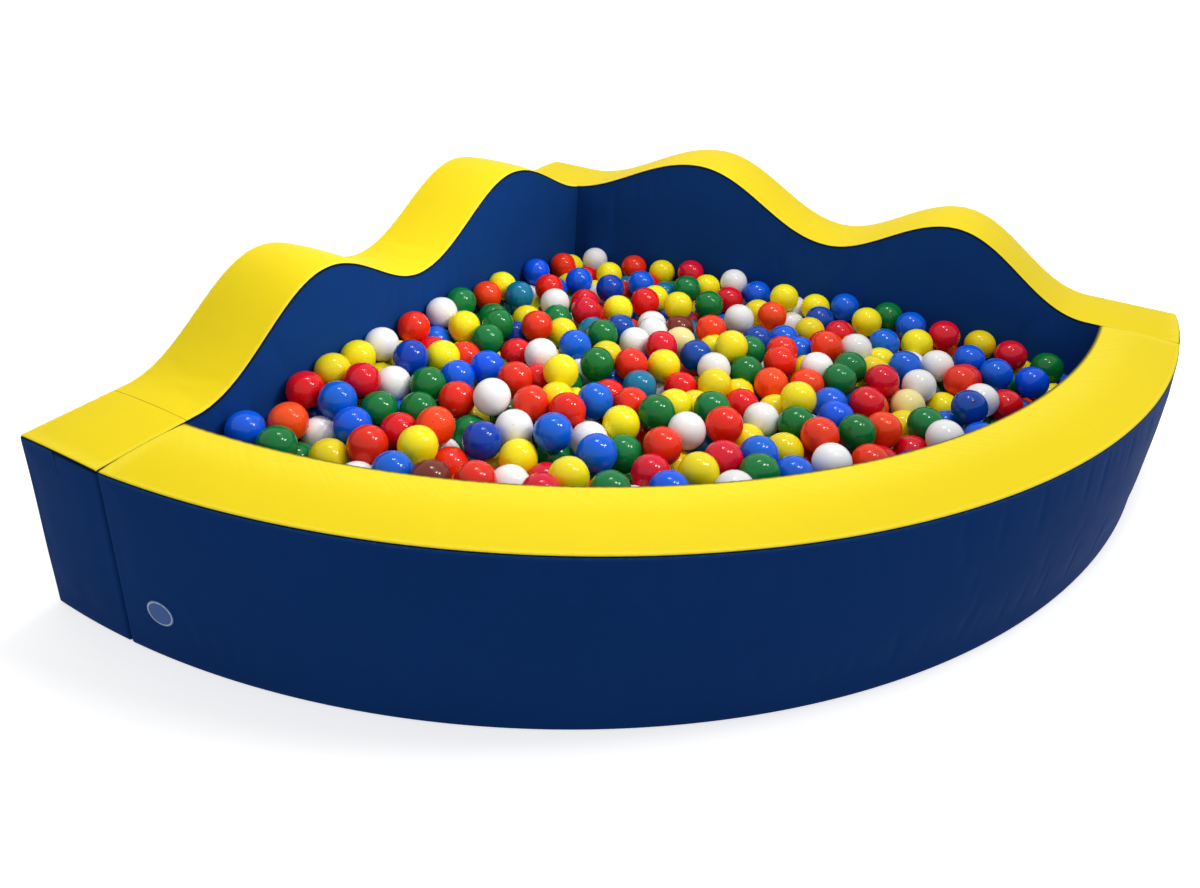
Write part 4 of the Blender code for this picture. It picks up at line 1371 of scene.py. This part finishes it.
def tape_material(name, colour, scale, fuzz, rough):
    """Woven or brushed tape: crossed threads as a wave each way, with loose fibres over them, and painted
    shade where the threads lie low.
    """
    material, g, shader = new_material(name)
    place = g.place()
    up = g.add("ShaderNodeTexWave", {"bands_direction": "Z"}, Vector=place, Scale=scale, Distortion=0.4)
    over = g.add("ShaderNodeTexWave", {"bands_direction": "X"}, Vector=place, Scale=scale, Distortion=0.4)
    fibre = g.noise(place, scale * 2.5, 4.0, 0.7)
    threads = g.times(g.maths("MAXIMUM", up.outputs["Fac"], over.outputs["Fac"]), 1 - fuzz)
    height = g.times(fibre, fuzz, threads)
    # Painted shade: the tone follows the threads' height, darker where they lie low.
    shade = g.times(height, 0.7, 0.6)
    base = g.add("ShaderNodeHueSaturation", Color=(*colour, 1.0), Value=shade)
    g.finish(shader, base, g.times(fibre, 0.15, rough - 0.1), height, 0.6, 0.0006)
    return material


def mat_material(vinyl):
    """Grey mat vinyl: the coated group over a coarser, duller ground."""
    material, g, shader = new_material("grey mat vinyl")
    settings = {"node_tree": vinyl}
    coat = g.add("ShaderNodeGroup", settings, Color=(*MAT_GREY, 1.0), Cloud=0.12, Grain=1.0, Worn=0.15)
    rough = g.maths("ADD", coat.outputs["Roughness"], 0.15)
    g.finish(shader, coat.outputs["Color"], rough, coat.outputs["Height"], 0.4, 0.0005)
    return material


def patch_material(vinyl):
    """Patch vinyl: a plain blue ground with a thin pale printed ring near its rim."""
    material, g, shader = new_material("patch vinyl")
    radius = g.attribute("radius")
    outer = g.eased(radius, PATCH_RING[1], PATCH_RING[1] + 0.02, 1.0, 0.0)
    ring = g.times(g.eased(radius, PATCH_RING[0], PATCH_RING[0] + 0.02), outer)
    ink = g.eased(g.noise(g.place(), 260.0, 4.0, 0.6), 0.25, 0.6, 0.55, 0.9)
    print_share = g.times(ring, ink)
    printed = g.blend(print_share, (*PATCH_BLUE, 1.0), (*PATCH_PALE, 1.0))
    coat = g.add("ShaderNodeGroup", {"node_tree": vinyl}, Color=printed, Cloud=0.05, Grain=0.3, Worn=0.1)
    g.finish(shader, coat.outputs["Color"], coat.outputs["Roughness"], coat.outputs["Height"], 0.25, 0.0004)
    return material


def foam_material():
    """Open-cell foam: small pores over a pale ground, the pores darkened as painted shade."""
    material, g, shader = new_material("open cell foam")
    place = g.place()
    pore = g.add("ShaderNodeTexVoronoi", Vector=place, Scale=520.0)
    tone = g.noise(place, 6.0, 3.0, 0.6)
    # Painted shade: the pore centres, which the bump sinks, are darkened towards the pore colour.
    pore_shade = g.eased(pore.outputs["Distance"], 0.1, 0.5, 0.5, 0.0)
    base = g.blend(pore_shade, (*FOAM_PALE, 1.0), (*FOAM_PORE_SHADE, 1.0))
    g.finish(shader, base, g.times(tone, 0.1, 0.85), pore.outputs["Distance"], 0.5, 0.001)
    return material


def slider_material():
    """Cast zip slider: brushed metal with rubbed corners."""
    material, g, shader = new_material("zip slider metal")
    place = g.place()
    stretched = g.add("ShaderNodeMapping", Vector=place, Scale=(900.0, 900.0, 90.0))
    brushed = g.noise(stretched, 1.0, 3.0, 0.6)
    rubbed = g.eased(g.noise(place, 300.0, 3.0, 0.6), 0.4, 0.7)
    base = g.blend(rubbed, (*METAL, 1.0), (*RUBBED_METAL, 1.0))
    g.finish(shader, base, g.times(brushed, 0.25, 0.22), brushed, 0.3, 0.0002)
    shader.inputs["Metallic"].default_value = 1.0
    return material


def dress(nodes, material):
    """Gives carried-over CAD nodes a material."""
    for node in nodes:
        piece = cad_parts[node]
        piece.data.materials.clear()
        piece.data.materials.append(material)


def make_camera():
    """Camera at the photograph's place: its yaw, its angle down and its roll in degrees."""
    data = bpy.data.cameras.new("camera")
    data.sensor_width = 36.0
    data.lens = LENS
    data.shift_y = LENS_SHIFT
    camera = bpy.data.objects.new("camera", data)
    bpy.context.scene.collection.objects.link(camera)
    yaw, down, roll = (math.radians(v) for v in CAMERA_TURN)
    forward = Vector((math.sin(yaw) * math.cos(down), math.cos(yaw) * math.cos(down), -math.sin(down)))
    level = Vector((math.cos(yaw), -math.sin(yaw), 0.0))
    upright = level.cross(forward)
    right = level * math.cos(roll) + upright * math.sin(roll)
    up = upright * math.cos(roll) - level * math.sin(roll)
    turn = Matrix((right, up, -forward)).transposed().to_4x4()
    camera.matrix_world = Matrix.Translation(CAMERA_PLACE) @ turn
    bpy.context.scene.camera = camera
    return camera


def area_light(name, place, target, size, power, spread):
    """A soft rectangular lamp aimed at a point, with its beam's spread in degrees."""
    data = bpy.data.lights.new(name, "AREA")
    data.shape = "RECTANGLE"
    data.size, data.size_y = size
    data.energy = power
    data.spread = math.radians(spread)
    lamp = bpy.data.objects.new(name, data)
    bpy.context.scene.collection.objects.link(lamp)
    way = Vector(target) - Vector(place)
    turn = way.to_track_quat("-Z", "Y").to_matrix().to_4x4()
    lamp.matrix_world = Matrix.Translation(place) @ turn


def seen_rays(g):
    """One for the rays that show the stage: camera, glossy and transmission rays."""
    path = g.add("ShaderNodeLightPath")
    look = g.maths("MAXIMUM", path.outputs["Is Camera Ray"], path.outputs["Is Glossy Ray"])
    return g.maths("MAXIMUM", look, path.outputs["Is Transmission Ray"])


def make_floor():
    """Plain pale floor that runs out past the view and turns to the white of the background.

    Where it shows, a glow that grows with the distance from the object is added to its shade, so
    that it keeps the object's shadow. Light bounces off its plain pale grey.
    """
    corners = np.array([(-1, -1, 0), (1, -1, 0), (1, 1, 0), (-1, 1, 0)], float) * FLOOR_REACH
    floor = make_mesh("floor", corners, [(0, 1, 2, 3)], closed=False)
    material, g, shader = new_material("pale floor")
    links = material.node_tree.links
    seen = seen_rays(g)
    g.feed(shader, "Base Color", g.blend(seen, (*FLOOR_BOUNCE, 1.0), (*FLOOR_COLOUR, 1.0)))
    g.feed(shader, "Roughness", 0.9)
    shader.inputs["Specular IOR Level"].default_value = 0.0
    radius = g.add("ShaderNodeVectorMath", {"operation": "LENGTH"}, Vector=g.place()).outputs["Value"]
    strength = g.times(g.eased(radius, *GLOW_REACH, *FLOOR_GLOW), seen)
    glow = g.add("ShaderNodeEmission", Color=(1.0, 1.0, 1.0, 1.0), Strength=strength)
    both = g.add("ShaderNodeAddShader")
    links.new(shader.outputs[0], both.inputs[0])
    links.new(glow.outputs[0], both.inputs[1])
    out = next(node for node in material.node_tree.nodes if node.bl_idname == "ShaderNodeOutputMaterial")
    links.new(both.outputs[0], out.inputs["Surface"])
    floor.data.materials.append(material)


def make_studio():
    """White background where it shows, and a soft even sky and four lamps that light the object."""
    world = bpy.data.worlds.new("studio")
    bpy.context.scene.world = world
    world.use_nodes = True
    world.node_tree.nodes.clear()
    g = Graph(world.node_tree)
    strength = g.times(seen_rays(g), 1.0 - SKY_STRENGTH, SKY_STRENGTH)
    sky = g.add("ShaderNodeBackground", Color=(1.0, 1.0, 1.0, 1.0), Strength=strength)
    out = g.add("ShaderNodeOutputWorld")
    world.node_tree.links.new(sky.outputs[0], out.inputs["Surface"])
    for lamp in LAMPS:
        area_light(*lamp)


# Camera: its focal length in mm, its shift, its place, and its yaw, angle down and roll
LENS = 27.44
LENS_SHIFT = -0.12
CAMERA_PLACE = (-0.8159, -1.9648, 1.3444)
CAMERA_TURN = (18.9715, 24.9324, 3.6974)

# Lamps: name, place, target, size, power in watts, and spread in degrees
LAMPS = (
    ("overhead softbox", (0.55, 0.10, 3.6), (0.0, -0.1, 0.3), (1.7, 1.2), 8, 180),
    ("catch light", (0.06, 0.88, 4.3), (0.0, -0.1, 0.3), (0.90, 0.56), 38, 180),
    ("front softbox", (0.60, -0.90, 2.6), (-0.1, 0.0, 0.3), (0.44, 0.30), 15.5, 180),
    ("left wall wash", (0.95, -0.9, 2.0), (-0.75, 0.1, 0.42), (0.5, 0.3), 3, 60),
)

# Floor and sky
FLOOR_REACH = 30.0
GLOW_REACH = (1.2, 3.4)
FLOOR_COLOUR = (0.84, 0.84, 0.84)
FLOOR_BOUNCE = (0.42, 0.42, 0.42)
FLOOR_GLOW = (0.60, 0.90)
SKY_STRENGTH = 0.5

# Cover vinyl: ground, painted highlight beside the seam, and painted shade in the seam itself
NAVY = (0.007, 0.050, 0.222)
NAVY_PAINTED_HIGHLIGHT = (0.012, 0.090, 0.36)
NAVY_SEAM_SHADE = (0.001, 0.004, 0.012)
YELLOW = (0.91, 0.70, 0.010)
YELLOW_PAINTED_HIGHLIGHT = (0.97, 0.78, 0.032)
YELLOW_SEAM_SHADE = (0.06, 0.042, 0.005)

# Distances from the seam in metres, and the stitches' rate in radians per metre
PIECING_LINE = (0.0004, 0.0016)
PAINTED_HIGHLIGHT_BAND = (-0.013, -0.003)
BAND_END = (0.0, 0.0006)
STITCH_FROM_SEAM = 0.0048
STITCH_HALF_WIDTH = 0.0007
STITCH_RATE = 1570.0

# Other materials
PATCH_BLUE = (0.014, 0.095, 0.38)
PATCH_PALE = (0.72, 0.82, 0.92)
MAT_GREY = (0.17, 0.18, 0.20)
FOAM_PALE = (0.74, 0.73, 0.66)
FOAM_PORE_SHADE = (0.45, 0.44, 0.38)
METAL = (0.46, 0.46, 0.47)
RUBBED_METAL = (0.66, 0.66, 0.66)
ZIP_COLOUR = (0.010, 0.020, 0.070)
HOOK_COLOUR = (0.015, 0.015, 0.016)
LOOP_COLOUR = (0.030, 0.030, 0.032)
NUB_COLOUR = (0.02, 0.015, 0.015)
BALL_SPECULAR = 0.26
BALL_ROUGHNESS = 0.09

# Base colour and material slot of each ball colour
BALL_COLOURS = {
    "red": ((0.76, 0.008, 0.006), "ball_red"),
    "orange": ((0.88, 0.040, 0.004), "ball_orange"),
    "yellow": ((0.92, 0.76, 0.006), "ball_yellow"),
    "green": ((0.003, 0.18, 0.036), "ball_green"),
    "blue": ((0.003, 0.112, 0.74), "ball_blue"),
    "navy": ((0.003, 0.056, 0.42), "ball_blue"),
    "teal": ((0.003, 0.17, 0.32), "ball_blue"),
    "white": ((0.87, 0.87, 0.86), "ball_white"),
    "cream": ((0.93, 0.84, 0.34), "ball_white"),
    "maroon": ((0.18, 0.028, 0.011), "ball_red"),
}
LOOSE_BALLS = ("red", "yellow", "green", "white", "blue", "orange", "navy", "lemon")
LOOSE_BALL_COLOURS = {title: "yellow" if title == "lemon" else title for title in LOOSE_BALLS}
FILL_COLOURS = ["red"] * 4 + ["yellow"] * 4 + ["green"] * 4 + ["blue"] * 4 + ["white"] * 3
FILL_COLOURS += ["orange", "orange", "navy", "teal"]

camera = make_camera()
make_floor()
make_studio()

vinyl = vinyl_group()
navy = vinyl_material("navy cover vinyl", vinyl, NAVY, 0.10, NAVY_PAINTED_HIGHLIGHT, NAVY_SEAM_SHADE, 0.0052, 0.015)
yellow = vinyl_material("yellow cover vinyl", vinyl, YELLOW, 0.025, YELLOW_PAINTED_HIGHLIGHT, YELLOW_SEAM_SHADE, 0.0014, 0.10)
foam = foam_material()
mat_cover = mat_material(vinyl)

# Each block: its plan, the reach of its rounded ends, and which of its ends are open
right_plan = Wall(0.0, False)
left_plan = Wall(WALL_THICKNESS + MODULE_GAP, True)
front_plan = Front()
right_block = FoamBlock(right_plan, NODE_PITCH, (OPEN_END, OPEN_END), (True, True))
left_block = FoamBlock(left_plan, NODE_PITCH, (JOINT_END, OPEN_END), (False, True))
front_block = FoamBlock(front_plan, NODE_PITCH, (JOINT_END, JOINT_END), (False, False))

# Creases across the tops: each one's place along the block, depth, width and slant
right_creases = ((0.16, 0.0010, 0.004, 0.1), (1.005, 0.0009, 0.004, 0.05))
left_creases = ((0.80, 0.0009, 0.004, -0.08), (LEFT_PIECING, 0.0008, 0.003, 0.0))

# Each module: its name, body, block, creases, piecing seam, seed, and place and strength of wrinkles
modules = (
    ("right_wall", "pit_base", right_block, right_creases, NO_PIECING, 1.0, (0.9, 0.1)),
    ("left_wall", "left_wall", left_block, left_creases, LEFT_PIECING, 2.0, (0.8, 0.2)),
    ("front", "front_block", front_block, (), NO_PIECING, 3.0, (0.93, 0.4)),
)
for name, body, block, creases, piecing, seed, wrinkles in modules:
    sides, cap = foam_covers(name, block, creases, piecing, seed, wrinkles)
    stand_for(sides, name + "_side_cover", body, navy)
    stand_for(cap, name + "_top_cover", body, yellow)
    plain_core(name, body, block, foam)

zip_cloth = tape_material("zip tape", ZIP_COLOUR, 900.0, 0.2, 0.75)
zip_tape("right_wall_zip", "pit_base", right_plan, WALL_ZIP_SHARES, 0.0, -1, zip_cloth)
zip_tape("left_wall_zip", "left_wall", left_plan, WALL_ZIP_SHARES, 0.0, -1, zip_cloth)
zip_tape("front_zip", "front_block", front_plan, FRONT_ZIP_SHARES, FRONT_THICKNESS, 1, zip_cloth)
dress(("right_wall_zip_slider", "left_wall_zip_slider", "front_zip_slider"), slider_material())
hook = tape_material("hook tape", HOOK_COLOUR, 700.0, 0.5, 0.85)
loop = tape_material("loop tape", LOOP_COLOUR, 420.0, 0.9, 0.9)
strips(hook, loop)
round_patch(front_block, patch_material(vinyl))
floor_mat(mat_cover, foam)

moulded = moulded_group()
paints = {
    colour: ball_material(colour + " ball plastic", base, moulded)
    for colour, (base, _) in BALL_COLOURS.items()
}
heap_balls(paints, camera, loose_balls(paints))

bpy.context.scene.view_settings.view_transform = "Standard"
